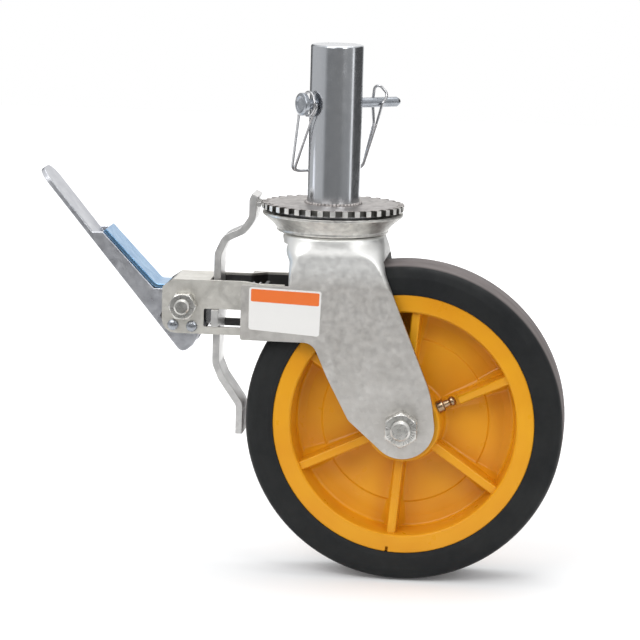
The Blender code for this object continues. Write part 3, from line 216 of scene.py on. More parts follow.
def soften(made, width, above=34):
    """Rounds the edges that are sharper than an angle in degrees. The width is in millimetres."""
    step = made.modifiers.new("soft_edges", "BEVEL")
    step.width = width * MM
    step.segments = 2
    step.limit_method = "ANGLE"
    step.angle_limit = math.radians(above)
    step.harden_normals = True
    return bake_modifiers(made)


def carve(made, tool, how="DIFFERENCE"):
    """Cuts, joins or trims a piece with a tool, and throws the tool away."""
    step = made.modifiers.new("carve", "BOOLEAN")
    step.solver = "EXACT"
    step.operation = how
    step.object = tool
    bake_modifiers(made)
    bpy.data.objects.remove(tool)
    return smoothed(made)


def together(made, *others):
    """Several closed shapes as one object, each kept as it is."""
    shape = bmesh.new()
    for part in (made, *others):
        shape.from_mesh(part.data)
    shape.to_mesh(made.data)
    shape.free()
    for part in others:
        bpy.data.objects.remove(part)
    return made


def calm_faces(made):
    """Lets the large faces set the shading, so that a flat sheet looks flat."""
    step = made.modifiers.new("calm_faces", "WEIGHTED_NORMAL")
    step.keep_sharp = True
    step.weight = 80
    return bake_modifiers(made)


# %% [markdown]
# ## Node trees in short
# Materials and Geometry Nodes are both trees of nodes. One helper adds a node and wires it up in
# the same line, so that each tree below reads from its input to its output.

# %% Node helper
def add(tree, kind, inputs=None, **settings):
    """A node with its inputs set to values or linked to other nodes' outputs."""
    made = tree.nodes.new(kind)
    for key, value in settings.items():
        setattr(made, key, value)
    for key, value in (inputs or {}).items():
        if isinstance(value, bpy.types.NodeSocket):
            tree.links.new(value, made.inputs[key])
        else:
            made.inputs[key].default_value = value
    return made


def maths(tree, operation, *values):
    """One sum on values or on other nodes' outputs."""
    return add(tree, "ShaderNodeMath", dict(enumerate(values)), operation=operation).outputs[0]


# %% [markdown]
# ## Zinc-plated steel
# Bright zinc is a thin crystal skin over the steel. It is grey with a cool or straw tint, slightly
# cloudy, and its gloss changes from patch to patch. We build that from noise: a slow one for the
# clouds, a cell pattern for the crystals and a fine one for the grain of the rolled sheet. All of
# it is read from the object's own coordinates in metres, so a scale of 100 means about 10 mm.

# %% Pattern helpers
def new_finish(name, colour, roughness, metallic=0.0, coat=0.0):
    """A new material, with its tree, its shader and the object's own coordinates in metres."""
    finish = bpy.data.materials.new(name)
    finish.use_nodes = True
    tree = finish.node_tree
    shader = tree.nodes["Principled BSDF"]
    shader.inputs["Base Color"].default_value = (*colour, 1)
    shader.inputs["Roughness"].default_value = roughness
    shader.inputs["Metallic"].default_value = metallic
    shader.inputs["Coat Weight"].default_value = coat
    place = add(tree, "ShaderNodeTexCoord").outputs["Object"]
    return finish, tree, shader, place


def noise(tree, place, scale, detail=4.0, stretch=(1, 1, 1)):
    """A cloudy pattern. A small stretch along an axis draws the clouds out along it."""
    moved = add(tree, "ShaderNodeMapping", {"Vector": place, "Scale": stretch}).outputs["Vector"]
    clouds = add(tree, "ShaderNodeTexNoise", {"Vector": moved, "Scale": scale, "Detail": detail})
    return clouds.outputs["Fac"]


def spread(tree, value, low, high, from_low=0.3, from_high=0.7):
    """Maps the middle of a pattern's range onto low to high."""
    return add(tree, "ShaderNodeMapRange", {
        "Value": value, "From Min": from_low, "From Max": from_high, "To Min": low, "To Max": high,
    }).outputs["Result"]


def mix_colour(tree, share, first, second):
    """A share of the second colour in the first. Each is three numbers or an output."""
    made = add(tree, "ShaderNodeMix", {"Factor": share}, data_type="RGBA")
    for index, colour in ((6, first), (7, second)):
        if isinstance(colour, bpy.types.NodeSocket):
            tree.links.new(colour, made.inputs[index])
        else:
            made.inputs[index].default_value = (*colour, 1)
    return made.outputs[2]


def place_parts(tree, place):
    """X, Y and Z of a place as outputs."""
    return add(tree, "ShaderNodeSeparateXYZ", {"Vector": place}).outputs


def from_axis(tree, place, middle, keep):
    """How far a place is from an axis through a middle, in metres. Keep has a 0 along the axis."""
    centred = add(tree, "ShaderNodeMapping", {
        "Vector": place, "Scale": keep,
        "Location": tuple(-v * k * MM for v, k in zip(middle, keep)),
    }).outputs["Vector"]
    return add(tree, "ShaderNodeVectorMath", {0: centred}, operation="LENGTH").outputs["Value"]


# %% Zinc plating
def zinc_plate(name, light, dark, gloss, cloud=60, crystal=0.3, stretch=(1, 1, 1), grain=0.12,
               tone=None):
    """Zinc plating between a light and a dark tint, with gloss as its pair of roughness limits.

    A tone is a function that changes the tint from place to place.
    """
    finish, tree, shader, place = new_finish(name, light, gloss[0], 1.0)
    clouds = noise(tree, place, cloud, 6, stretch)
    cells = add(tree, "ShaderNodeTexVoronoi", {"Vector": place, "Scale": 380.0}).outputs["Color"]
    crystals = maths(tree, "MULTIPLY_ADD", cells, crystal, 0.5 * (1 - crystal))
    shade = maths(tree, "MULTIPLY_ADD", crystals, 0.5, maths(tree, "MULTIPLY", clouds, 0.5))
    tint = mix_colour(tree, spread(tree, shade, 0, 1, 0.36, 0.64), dark, light)
    if tone:
        tint = tone(tree, place, tint)
    tree.links.new(tint, shader.inputs["Base Color"])
    tree.links.new(spread(tree, noise(tree, place, 3 * cloud), *gloss), shader.inputs["Roughness"])
    rolled = noise(tree, place, 900, 3, stretch)
    bump = add(tree, "ShaderNodeBump", {"Height": rolled, "Strength": grain, "Distance": 0.2 * MM})
    tree.links.new(bump.outputs["Normal"], shader.inputs["Normal"])
    return finish


# %% [markdown]
# ## Painted light and shade on the plating
# Real plating isn't the same all over a piece, and here some light and shade is painted into it
# too. The fork's neck is painted lighter, a painted reflection; the ends of the plate's teeth get
# a painted highlight and the notches painted shade; the faces inside a folded channel get painted
# shade. A tone is a function that asks where on the piece it is, and mixes in another tint there.
# All the limits below are in millimetres from the swivel axis and the plate's top.

# %% Tones
NECK_FADE = (-50, -38)
HOLLOW_TOP = -51.5
FORK_INSIDE = 30
HOUSING_INSIDE = (19, 27.2)
HOUSING_STEP = (-54, -47)
TOOTH_ENDS = 45
PLATE_FACE = -0.3
# A lighter tint round the fork's neck: a painted reflection.
NECK_PAINTED_REFLECTION = (0.88, 0.88, 0.86)
# A painted highlight on the outer ends of the plate's teeth.
TOOTH_PAINTED_HIGHLIGHT = (0.90, 0.89, 0.86)
# Painted shade on the faces between the fork's legs and between the housing's walls.
PAINTED_SHADE_INSIDE = (0.10, 0.10, 0.10)
# Painted shade in the notches and under the plate.
NOTCH_PAINTED_SHADE = (0.12, 0.12, 0.11)


def in_metres(limits):
    return [limit * MM for limit in limits]


def paint_shade_inside(tree, tint, parts, wall):
    """Paints shade on the faces that lie between two walls, each as far as wall from the middle."""
    between = maths(tree, "LESS_THAN", maths(tree, "ABSOLUTE", parts["Y"]), wall)
    below = maths(tree, "LESS_THAN", parts["Z"], HOLLOW_TOP * MM)
    return mix_colour(tree, maths(tree, "MULTIPLY", between, below), tint, PAINTED_SHADE_INSIDE)


def fork_tone(tree, place, tint):
    """Painted light round the neck, a painted reflection, and painted shade between the legs."""
    parts = place_parts(tree, place)
    neck_share = spread(tree, parts["Z"], 0, 0.85, *in_metres(NECK_FADE))
    with_neck_reflection = mix_colour(tree, neck_share, tint, NECK_PAINTED_REFLECTION)
    return paint_shade_inside(tree, with_neck_reflection, parts, FORK_INSIDE * MM)


def housing_tone(tree, place, tint):
    """Painted shade between the walls, which step outwards where they lap the fork."""
    parts = place_parts(tree, place)
    wall = spread(tree, parts["X"], *in_metres(HOUSING_INSIDE), *in_metres(HOUSING_STEP))
    return paint_shade_inside(tree, tint, parts, wall)


def plate_tone(tree, place, tint):
    """A painted highlight at the teeth's outer ends and painted shade on the notches' walls and the
    plate's underside.
    """
    radius = from_axis(tree, place, (0, 0, 0), (1, 1, 0))
    lit_tooth_end = maths(tree, "GREATER_THAN", radius, TOOTH_ENDS * MM)
    side = mix_colour(tree, lit_tooth_end, NOTCH_PAINTED_SHADE, TOOTH_PAINTED_HIGHLIGHT)
    edge = maths(tree, "LESS_THAN", place_parts(tree, place)["Z"], PLATE_FACE * MM)
    return mix_colour(tree, maths(tree, "MULTIPLY", edge, 0.85), tint, side)


# %% [markdown]
# ## The castor's zinc finishes
# Plating varies with the bath and the shape, so each kind of part gets its own pair of tints and
# gloss. The stem is drawn bar: its clouds are stretched along its length and it is nearly a
# mirror. The strap has the blue tint of a fresh passivation layer. The nipple is brass, but the
# same pattern of clouds and grain suits it.

# %% Zinc finishes
FORK_ZINC = zinc_plate("fork_zinc", (0.70, 0.68, 0.65), (0.56, 0.54, 0.51), (0.40, 0.54),
                       cloud=80, tone=fork_tone)
CUP_ZINC = zinc_plate("cup_zinc", (0.76, 0.75, 0.71), (0.46, 0.45, 0.43), (0.34, 0.48), cloud=170)
STEM_ZINC = zinc_plate("stem_zinc", (0.66, 0.67, 0.69), (0.54, 0.56, 0.59), (0.15, 0.22),
                       crystal=0.1, stretch=(1, 1, 0.05), grain=0.06)
PLATE_ZINC = zinc_plate("plate_zinc", (0.54, 0.51, 0.49), (0.28, 0.26, 0.25), (0.34, 0.50),
                        cloud=120, tone=plate_tone)
HOUSING_ZINC = zinc_plate("housing_zinc", (0.80, 0.78, 0.73), (0.64, 0.62, 0.57), (0.40, 0.52),
                          tone=housing_tone)
PEDAL_ZINC = zinc_plate("pedal_zinc", (0.72, 0.73, 0.76), (0.58, 0.59, 0.63), (0.26, 0.40))
STRAP_ZINC = zinc_plate("strap_zinc", (0.34, 0.56, 0.80), (0.16, 0.36, 0.62), (0.18, 0.28))
BAR_ZINC = zinc_plate("bar_zinc", (0.84, 0.83, 0.81), (0.66, 0.65, 0.64), (0.32, 0.46))
FASTENER_ZINC = zinc_plate("fastener_zinc", (0.72, 0.71, 0.68), (0.50, 0.49, 0.46), (0.22, 0.36),
                           cloud=160)
BEARING_STEEL = zinc_plate("bearing_steel", (0.50, 0.50, 0.51), (0.36, 0.36, 0.37), (0.14, 0.26),
                           cloud=160)
WIRE_STEEL = zinc_plate("wire_steel", (0.58, 0.58, 0.59), (0.42, 0.42, 0.43), (0.20, 0.32), cloud=200)
PIN_ZINC = zinc_plate("pin_zinc", (0.46, 0.48, 0.51), (0.30, 0.32, 0.35), (0.24, 0.36), cloud=160)
NIPPLE_BRASS = zinc_plate("nipple_brass", (0.48, 0.34, 0.22), (0.30, 0.21, 0.13), (0.22, 0.34),
                          cloud=200)
print("metal finishes made")

# %% [markdown]
# ## Plastic, rubber and print
# The wheel centre is moulded in one colour, so its finish is even: a glossy skin over a slow
# drift in depth of colour, where the melt cooled at its own pace. Rubber is nearly black and
# dull. A bloom of wax greys it in patches. Its tread is painted grey in patches where it has
# rolled, part dust and part painted sheen. The label is a printed film with a thin clear coat.

# %% Plastic and rubber finishes
AXLE = tuple((low + high) / 2 / MM for low, high in zip(*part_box("tyre")))
DUST_AND_SHEEN_FROM = (100.6, 101.4)


def moulded_plastic(name, colour, deep):
    """A glossy moulded plastic, a little deeper in colour where the noise is low."""
    finish, tree, shader, place = new_finish(name, colour, 0.3)
    flow = noise(tree, place, 24, 2)
    tint = mix_colour(tree, spread(tree, flow, 0, 1), deep, colour)
    tree.links.new(tint, shader.inputs["Base Color"])
    tree.links.new(spread(tree, noise(tree, place, 90), 0.26, 0.38), shader.inputs["Roughness"])
    shader.inputs["Specular IOR Level"].default_value = 0.3
    return finish


def bloomed_rubber(name):
    """Black rubber with a grey bloom in slow patches, a fine grain and a tread painted grey, part dust
    and part painted sheen.
    """
    finish, tree, shader, place = new_finish(name, (0.010, 0.011, 0.012), 0.7)
    bloom = spread(tree, noise(tree, place, 30, 5), 0, 1)
    tint = mix_colour(tree, bloom, (0.008, 0.009, 0.010), (0.015, 0.016, 0.016))
    radius = from_axis(tree, place, AXLE, (1, 0, 1))
    tread = spread(tree, radius, 0, 1, *in_metres(DUST_AND_SHEEN_FROM))
    patches = spread(tree, noise(tree, place, 70, 5), 0.75, 1)
    # The tread's grey is part dust and part painted sheen.
    tint = mix_colour(tree, maths(tree, "MULTIPLY", tread, patches), tint, (0.190, 0.165, 0.160))
    tree.links.new(tint, shader.inputs["Base Color"])
    tree.links.new(spread(tree, noise(tree, place, 140), 0.6, 0.78), shader.inputs["Roughness"])
    shader.inputs["Specular IOR Level"].default_value = 0.25
    grain = noise(tree, place, 1400, 2)
    bump = add(tree, "ShaderNodeBump", {"Height": grain, "Strength": 0.1, "Distance": 0.1 * MM})
    tree.links.new(bump.outputs["Normal"], shader.inputs["Normal"])
    return finish


def plain_print(name, colour):
    """A coloured film with a thin clear coat and a little dust in its gloss."""
    finish, tree, shader, place = new_finish(name, colour, 0.35, coat=0.3)
    dust = spread(tree, noise(tree, place, 220), 0.3, 0.5)
    tree.links.new(dust, shader.inputs["Roughness"])
    return finish


WHEEL_YELLOW = moulded_plastic("wheel_yellow", (0.76, 0.35, 0.012), (0.68, 0.275, 0.008))
TYRE_RUBBER = bloomed_rubber("tyre_rubber")
LABEL_WHITE = plain_print("label_white", (0.80, 0.79, 0.77))
LABEL_ORANGE = plain_print("label_orange", (0.80, 0.17, 0.03))
print("axle at", [round(v, 1) for v in AXLE], "mm")

# %% [markdown]
# ## Shapes that repeat
# Notches, balls, weld ripples and wheel ribs all repeat round an axis. A Geometry Nodes tree
# does that: it makes a row of points, puts one copy of the shape on each, and turns each copy a
# little further. The same tree serves them all, because its count, axis and centre are inputs.

# %% Geometry Nodes: start, end and run a tree
def shape_tree(name, sockets):
    """An empty Geometry Nodes tree with named inputs. Each has its kind and its usual value."""
    tree = bpy.data.node_groups.new(name, "GeometryNodeTree")
    tree.interface.new_socket("Geometry", in_out="INPUT", socket_type="NodeSocketGeometry")
    for label, kind, value in sockets:
        socket = tree.interface.new_socket(label, in_out="INPUT", socket_type=f"NodeSocket{kind}")
        if value is not None:
            socket.default_value = value
    tree.interface.new_socket("Geometry", in_out="OUTPUT", socket_type="NodeSocketGeometry")
    return tree, add(tree, "NodeGroupInput").outputs


def end_tree(tree, geometry, finish):
    """Turns instances into real faces, paints them and closes the tree."""
    real = add(tree, "GeometryNodeRealizeInstances", {"Geometry": geometry}).outputs[0]
    painted = add(tree, "GeometryNodeSetMaterial", {"Geometry": real, "Material": finish}).outputs[0]
    add(tree, "NodeGroupOutput", {0: painted})
    return tree


def grow(made, tree, values):
    """Runs a tree on a piece with its inputs set, and keeps the plain mesh."""
    step = made.modifiers.new(tree.name, "NODES")
    step.node_group = tree
    for socket in tree.interface.items_tree:
        if socket.in_out == "INPUT" and socket.name in values:
            step[socket.identifier] = values[socket.name]
    return bake_modifiers(made)


# %% [markdown]
# Every copy sits at the tree's own origin and only turns, because the shape that comes in is
# already drawn at its distance from the axis. Last, the whole ring moves to its centre.

# %% Geometry Nodes: copies round an axis
def round_copies():
    """Turned copies of a shape about an axis, joined where they touch if a distance is given."""
    tree, given = shape_tree("round_copies", [
        ("Count", "Int", 6), ("First Turn", "Float", 0.0), ("Axis", "Vector", (0, 0, 1)),
        ("Centre", "Vector", (0, 0, 0)), ("Wobble", "Float", 0.0), ("Seed", "Int", 1),
        ("Weld Distance", "Float", 0.0), ("Material", "Material", None),
    ])
    points = add(tree, "GeometryNodePoints", {"Count": given["Count"]}).outputs[0]
    step = maths(tree, "DIVIDE", 2 * math.pi, given["Count"])
    index = add(tree, "GeometryNodeInputIndex").outputs[0]
    turn = maths(tree, "MULTIPLY_ADD", index, step, given["First Turn"])
    rotation = add(tree, "FunctionNodeAxisAngleToRotation", {
        "Axis": given["Axis"], "Angle": turn,
    }).outputs[0]
    size = add(tree, "FunctionNodeRandomValue", {
        2: maths(tree, "SUBTRACT", 1.0, given["Wobble"]), 3: maths(tree, "ADD", 1.0, given["Wobble"]),
        "Seed": given["Seed"],
    }, data_type="FLOAT").outputs[1]
    copies = add(tree, "GeometryNodeInstanceOnPoints", {
        "Points": points, "Instance": given["Geometry"], "Rotation": rotation, "Scale": size,
    }).outputs[0]
    real = add(tree, "GeometryNodeRealizeInstances", {"Geometry": copies}).outputs[0]
    merged = add(tree, "GeometryNodeMergeByDistance", {
        "Geometry": real, "Distance": given["Weld Distance"],
    }).outputs[0]
    placed = add(tree, "GeometryNodeTransform", {
        "Geometry": merged, "Translation": given["Centre"],
    }).outputs[0]
    return end_tree(tree, placed, given["Material"])


ROUND_COPIES = round_copies()
print("tree made:", ROUND_COPIES.name, "with", len(ROUND_COPIES.nodes), "nodes")

# %% [markdown]
# ## Wires
# A wire is a line with a round section. The tree turns a path of points into a curve and sweeps
# a circle along it. A spring needs no path: a spiral primitive already is one.

# %% Geometry Nodes: wire and coil
def swept(tree, line, given):
    """A round section along a curve, with closed ends."""
    section = add(tree, "GeometryNodeCurvePrimitiveCircle", {
        "Radius": given["Wire Radius"], "Resolution": given["Sides"],
    }).outputs[0]
    wire = add(tree, "GeometryNodeCurveToMesh", {
        "Curve": line, "Profile Curve": section, "Fill Caps": True,
    }).outputs[0]
    return end_tree(tree, wire, given["Material"])


def bent_wire():
    """A wire along the path that the piece brings."""
    tree, given = shape_tree("bent_wire", [
        ("Wire Radius", "Float", MM), ("Sides", "Int", 16), ("Material", "Material", None),
    ])
    line = add(tree, "GeometryNodeMeshToCurve", {"Mesh": given["Geometry"]}).outputs[0]
    return swept(tree, line, given)


def coiled_wire():
    """A wire along a spiral that runs in X."""
    tree, given = shape_tree("coiled_wire", [
        ("Coil Radius", "Float", 6 * MM), ("Length", "Float", 20 * MM), ("Turns", "Float", 6.0),
        ("Start", "Vector", (0, 0, 0)), ("Wire Radius", "Float", MM), ("Sides", "Int", 16),
        ("Material", "Material", None),
    ])
    spiral = add(tree, "GeometryNodeCurveSpiral", {
        "Resolution": 36, "Rotations": given["Turns"], "Start Radius": given["Coil Radius"],
        "End Radius": given["Coil Radius"], "Height": given["Length"],
    }).outputs[0]
    laid = add(tree, "GeometryNodeTransform", {
        "Geometry": spiral, "Translation": given["Start"], "Rotation": (0, math.pi / 2, 0),
    }).outputs[0]
    return swept(tree, laid, given)


BENT_WIRE = bent_wire()
COILED_WIRE = coiled_wire()
print("trees made:", BENT_WIRE.name, "and", COILED_WIRE.name)

# %% [markdown]
# ## The wheel centre
# The centre is one nylon moulding: a hub, a thin web with two faint steps, six ribs and a broad
# ring that holds the tyre. A mould needs generous corners so the plastic can flow, and ribs that
# thin towards their edge so the part comes out of the mould. Both show as soft highlights.
#
# Every finished piece is dressed in the same way, so that comes first, as a helper of its own.

# %% Dress a piece
def paint(made, finish):
    """The piece's only material."""
    made.data.materials.clear()
    made.data.materials.append(finish)


def fit_out(made, finish, body, slot, *nodes):
    """Paints a finished piece, lets it ride on a body, and puts it in the place of its solids."""
    paint(made, finish)
    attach(made, body)
    if nodes:
        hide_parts(*nodes)
    made.data.calc_loop_triangles()
    print(made.name, "has", len(made.data.loop_triangles), "triangles")
    return made


# %% Wheel centre
RIM_OUTER = 83.5
RIM_INNER = 72
RIM_HALF = 23.5
HUB_OUTER = 23.5
HUB_HALF = 26.2
HUB_BORE = 12.75
half_section = [
    (HUB_BORE, HUB_HALF, 0.5), (HUB_OUTER, HUB_HALF, 1.6), (25.5, 5.4, 3),
    (53, 5, 1), (54, 4, 1), (63.75, 3, 2), (70, 3, 2.5),
    (RIM_INNER, 22.5, 0.8), (73, RIM_HALF, 1), (RIM_OUTER, RIM_HALF, 0.8),
]
core = spun("wheel_centre", rounded(mirrored(half_section)), "Y", AXLE, 144)

rib_section = mirrored([(2.8, 20, 1.2), (3.3, 6.5, 3), (6.6, 2.6, 0.5)])
left_side = [(-p[0], p[1], *p[2:]) for p in rib_section[::-1]]
rib_shape = drawn_out("ribs", rounded(rib_section + left_side, steps=4), 21.5, 74, "X")
print("rib section points:", len(rib_shape.data.vertices) // 2)

# %% [markdown]
# The rib above lies along +X with its thickness up and down, so it has to be turned on its side
# before the copies are made. The six copies then go round the axle, which runs along Y.

# %% Ribs, nipple pocket and rim notch
RIB_TURN = math.radians(-25.2)
rib_shape.data.transform(Matrix.Rotation(math.pi / 2, 4, "X"))
grow(rib_shape, ROUND_COPIES, {
    "Count": 6, "First Turn": RIB_TURN, "Axis": (0.0, 1.0, 0.0),
    "Centre": tuple(v * MM for v in AXLE), "Material": WHEEL_YELLOW,
})
carve(core, rib_shape, "UNION")


def radial_tool(name, angle, inner, outer, width, low, high, bevel=0.0):
    """A cutter that runs outwards from the axle at an angle, between two depths."""
    outwards = polar(1, angle)
    aside = polar(width / 2, angle + math.pi / 2)
    middle = Vector((AXLE[0], AXLE[2]))
    outline = [middle + outwards * inner - aside, middle + outwards * outer - aside,
               middle + outwards * outer + aside, middle + outwards * inner + aside]
    return drawn_out(name, outline, low, high, "Y", bevel)


IN_FRONT = -40
NIPPLE_TURN = math.radians(27)
NIPPLE_DEPTH = 17
NIPPLE_SEAT = 24.2
POCKET_START = HUB_OUTER + 0.3
POCKET_LENGTH = 15
POCKET_WIDTH = 12
pocket = radial_tool("pocket", NIPPLE_TURN, POCKET_START, POCKET_START + POCKET_LENGTH, POCKET_WIDTH,
                     IN_FRONT, 5.2 - NIPPLE_DEPTH, 1.5)
carve(core, pocket)

MARK_TURN = math.radians(-95.8)
MARK_WIDTH = 1.8
MARK_DEPTH = 3
mark = radial_tool("notch", MARK_TURN, RIM_OUTER - 3.5, RIM_OUTER + 2, MARK_WIDTH,
                   IN_FRONT, MARK_DEPTH - RIM_HALF)
carve(core, mark)
fit_out(calm_faces(core), WHEEL_YELLOW, "wheel", "wheel_plastic", "wheel_core")

# %% [markdown]
# ## The tyre
# The tyre is moulded rubber. Its shoulders are round, the tread is nearly flat, and a fine ridge
# runs round the middle where the two halves of the mould met.

# %% Tyre
TYRE_OUTER = 101.6
half_section = [
    (RIM_OUTER - 0.1, 24.2, 0.6), (86.5, 24.9, 2), (94.5, 25, 4), (99.6, 23.2, 4),
    (TYRE_OUTER - 0.1, 17.5, 8), (TYRE_OUTER - 0.1, 0.5), (TYRE_OUTER, 0.15),
]
tyre = spun("solid_tyre", rounded(mirrored(half_section)), "Y", AXLE, 160)
fit_out(tyre, TYRE_RUBBER, "wheel", "tyre_rubber", "tyre")

# %% [markdown]
# ## Grease nipple
# A small brass fitting stands out of the hub in a pocket beside a rib. It is turned: a hexagon
# foot, a neck and a round tip that the grease gun grips.

# %% Grease nipple
NIPPLE_LENGTH = 12
tip = NIPPLE_SEAT + NIPPLE_LENGTH
section = rounded([
    (0, NIPPLE_SEAT), (3.9, NIPPLE_SEAT), (3.9, NIPPLE_SEAT + 4, 0.4), (2.6, NIPPLE_SEAT + 4.6, 0.4),
    (2.2, tip - 4, 0.8), (3.2, tip - 2.6, 0.5), (3.2, tip - 1.2, 0.5), (2, tip, 0.6), (0, tip),
], closed=False)
nipple = spun("nipple", section, "X", segments=40)
to_hub = Matrix.Translation(Vector((AXLE[0], AXLE[1] - NIPPLE_DEPTH, AXLE[2])) * MM)
nipple.data.transform(to_hub @ Matrix.Rotation(-NIPPLE_TURN, 4, "Y"))
fit_out(nipple, NIPPLE_BRASS, "wheel", "nipple_brass", "grease_nipple")

# %% [markdown]
# ## Stem
# The stem is a solid bar that goes up into the scaffold's tube. Its top edge is turned off and a
# hole goes across it for the lock pin. The long mirror-like side shows the studio as upright
# bands, so it needs many segments and no bevel along its length.

# %% Stem with its cross hole
STEM_RADIUS = 16.8
PIN_HEIGHT = 63.6
PIN_TURN = math.radians(36)
PIN_RADIUS = 3.2
STEM_LENGTH = 101
KINGPIN_BORE = 8.3
KINGPIN_REACH = 22.3
section = rounded([
    (0, KINGPIN_REACH), (KINGPIN_BORE, KINGPIN_REACH), (KINGPIN_BORE, 0.3), (STEM_RADIUS, 0.3),
    (STEM_RADIUS, STEM_LENGTH, 1.4), (0, STEM_LENGTH),
], closed=False)
stem = spun("round_stem", section, segments=128)
hole = spun("pin_hole", rod(PIN_RADIUS + 0.25, -40, 40), "X", segments=48)
to_stem = Matrix.Translation((0, 0, PIN_HEIGHT * MM)) @ Matrix.Rotation(PIN_TURN, 4, "Z")
hole.data.transform(to_stem)
carve(stem, hole)
fit_out(soften(stem, 0.3, above=50), STEM_ZINC, "stem", "zinc_steel", "stem")

# %% [markdown]
# ## Toothed plate
# The plate under the stem has 36 square notches for the brake's teeth. We draw a single slice of
# ten degrees with one notch, open at its two cuts, and let the tree turn 36 of them. Merged at
# the cuts they make one closed plate.

# %% Toothed plate
NOTCHES = 36
PLATE_RADIUS = 45.4
PLATE_THICKNESS = 3.8
NOTCH_WIDTH = 4.4
NOTCH_ROOT = 41.6


def plate_slice():
    """One notch's share of the plate, with no wall at either cut."""
    half = math.pi / NOTCHES
    corner = math.asin(NOTCH_WIDTH / 2 / PLATE_RADIUS)
    root = math.asin(NOTCH_WIDTH / 2 / NOTCH_ROOT)
    outer = arc((0, 0), PLATE_RADIUS, -half, -corner, 3) + arc((0, 0), NOTCH_ROOT, -root, root, 2)
    outer += arc((0, 0), PLATE_RADIUS, corner, half, 3)
    inner = arc((0, 0), KINGPIN_BORE, half, -half, 2)
    shape = bmesh.new()
    top = [shape.verts.new((*p, 0)) for p in outer + inner]
    bottom = [shape.verts.new((*p, -PLATE_THICKNESS)) for p in outer + inner]
    shape.faces.new(top)
    shape.faces.new(bottom[::-1])
    cut = len(outer) - 1
    for i in range(len(top) - 1):
        if i != cut:
            shape.faces.new([top[i], bottom[i], bottom[i + 1], top[i + 1]])
    return keep_mesh("notched_plate", shape)


plate = grow(plate_slice(), ROUND_COPIES, {
    "Count": NOTCHES, "First Turn": math.pi, "Weld Distance": 0.01 * MM, "Material": PLATE_ZINC,
})
soften(plate, 0.35, above=40)
print(plate.name, "turned from a slice of", round(360 / NOTCHES), "degrees")

# %% [markdown]
# ## Weld
# The weld that holds the plate to the stem is a ring of ripples, each a drop of metal that set
# before the next one fell. One bead copied round the stem shows that, if the copies vary a little
# in size. They overlap, as the drops do, so no two have to meet.

# %% Weld
BEADS = 44
WELD_RADIUS = 1.3
shape = bmesh.new()
bmesh.ops.create_icosphere(shape, subdivisions=2, radius=WELD_RADIUS)
bmesh.ops.scale(shape, vec=(0.9, 1.0, 1.15), verts=shape.verts)
bmesh.ops.translate(shape, vec=(STEM_RADIUS + 0.5, 0, 0), verts=shape.verts)
weld = grow(keep_mesh("weld", shape), ROUND_COPIES, {
    "Count": BEADS, "Wobble": 0.012, "Seed": 4, "Material": PLATE_ZINC,
})
fit_out(together(plate, weld), PLATE_ZINC, "stem", "zinc_steel", "toothed_plate")

# %% [markdown]
# ## Swivel bearing
# Twelve balls roll in a groove of the pressed cup, spaced by a thin cage. Little of them shows,
# but the gap under the plate would look empty without them. The cup is spun from sheet: a lip,
# a deep flare and a small bead at its foot.

# %% Cup and balls
BALL_RADIUS = 3.2
BALL_CIRCLE = 33
BALL_HEIGHT = -9.8
BALL_COUNT = 12
LIP_TURN = math.radians(25)
groove = arc((BALL_CIRCLE, BALL_HEIGHT), BALL_RADIUS + 0.3, LIP_TURN - math.pi, -LIP_TURN, 10)
section = rounded([
    (44.8, -5.8, 0.35), (44.8, -7.3, 0.9), (40.6, -10.8, 7), (37.6, -13.5, 5), (35.7, -16.0, 1),
    (35.8, -17.2, 0.5), (35.0, -18.1, 0.3), (10, -18.1), (10, -15.3), (28.2, -15.3),
] + [tuple(p) for p in groove] + [(42.2, -7.4, 0.5), (42.2, -5.8, 0.35)], steps=5)
cup = spun("bearing_cup_lip", section, segments=144)
fit_out(cup, CUP_ZINC, "fork", "zinc_steel", "bearing_cup")

shape = bmesh.new()
bmesh.ops.create_icosphere(shape, subdivisions=3, radius=BALL_RADIUS)
bmesh.ops.translate(shape, vec=(BALL_CIRCLE, 0, 0), verts=shape.verts)
balls = grow(keep_mesh("ball_ring", shape), ROUND_COPIES, {
    "Count": BALL_COUNT, "First Turn": math.pi / BALL_COUNT,
    "Centre": (0.0, 0.0, BALL_HEIGHT * MM), "Material": BEARING_STEEL,
})
cage = spun("cage", [(31.9, -0.5), (34.1, -0.5), (34.1, 0.5), (31.9, 0.5)], centre=(0, 0, BALL_HEIGHT))
fit_out(together(balls, cage), BEARING_STEEL, "fork", "bearing_steel", "swivel_balls")

# %% [markdown]
# ## Fork
# The fork is drawn from one thick sheet: round under the cup, then squared off into two flat
# legs. We loft its neck from rings that change from a near circle to a rounded rectangle, and
# draw the legs out from their side view. The legs' faces lie a hair outside the neck, so the two
# surfaces run into each other and the mirror bands of the zinc bend as they do on the real one.

# %% Rings of the neck
SHEET = 4
CROWN_TOP = -18.4
CROWN_UNDERSIDE = CROWN_TOP - SHEET
NECK_HEIGHT = 26
LEG_FLAT = CROWN_TOP - NECK_HEIGHT
LEG_OUTER = 33
NECK_LAP = 0.03
NECK_BEND = 3
CROWN_FRONT = 31.2
CROWN_HALF = 31.6
CROWN_BORE = 9
REAR_BULGE = 5.6
REAR_LAP = 0.25
LEG_FRONT = 24.2
LEG_REAR = 27.6
REAR_SLOPE = math.tan(math.radians(22.5))


def smooth_step(value):
    """Runs from 0 to 1 with a gentle start and end."""
    clipped = min(max(value, 0.0), 1.0)
    return clipped * clipped * (3 - 2 * clipped)


def leg_rear(height):
    """X of the legs' rear edge, which leans back in a straight line."""
    return LEG_REAR + (CROWN_TOP - height) * REAR_SLOPE


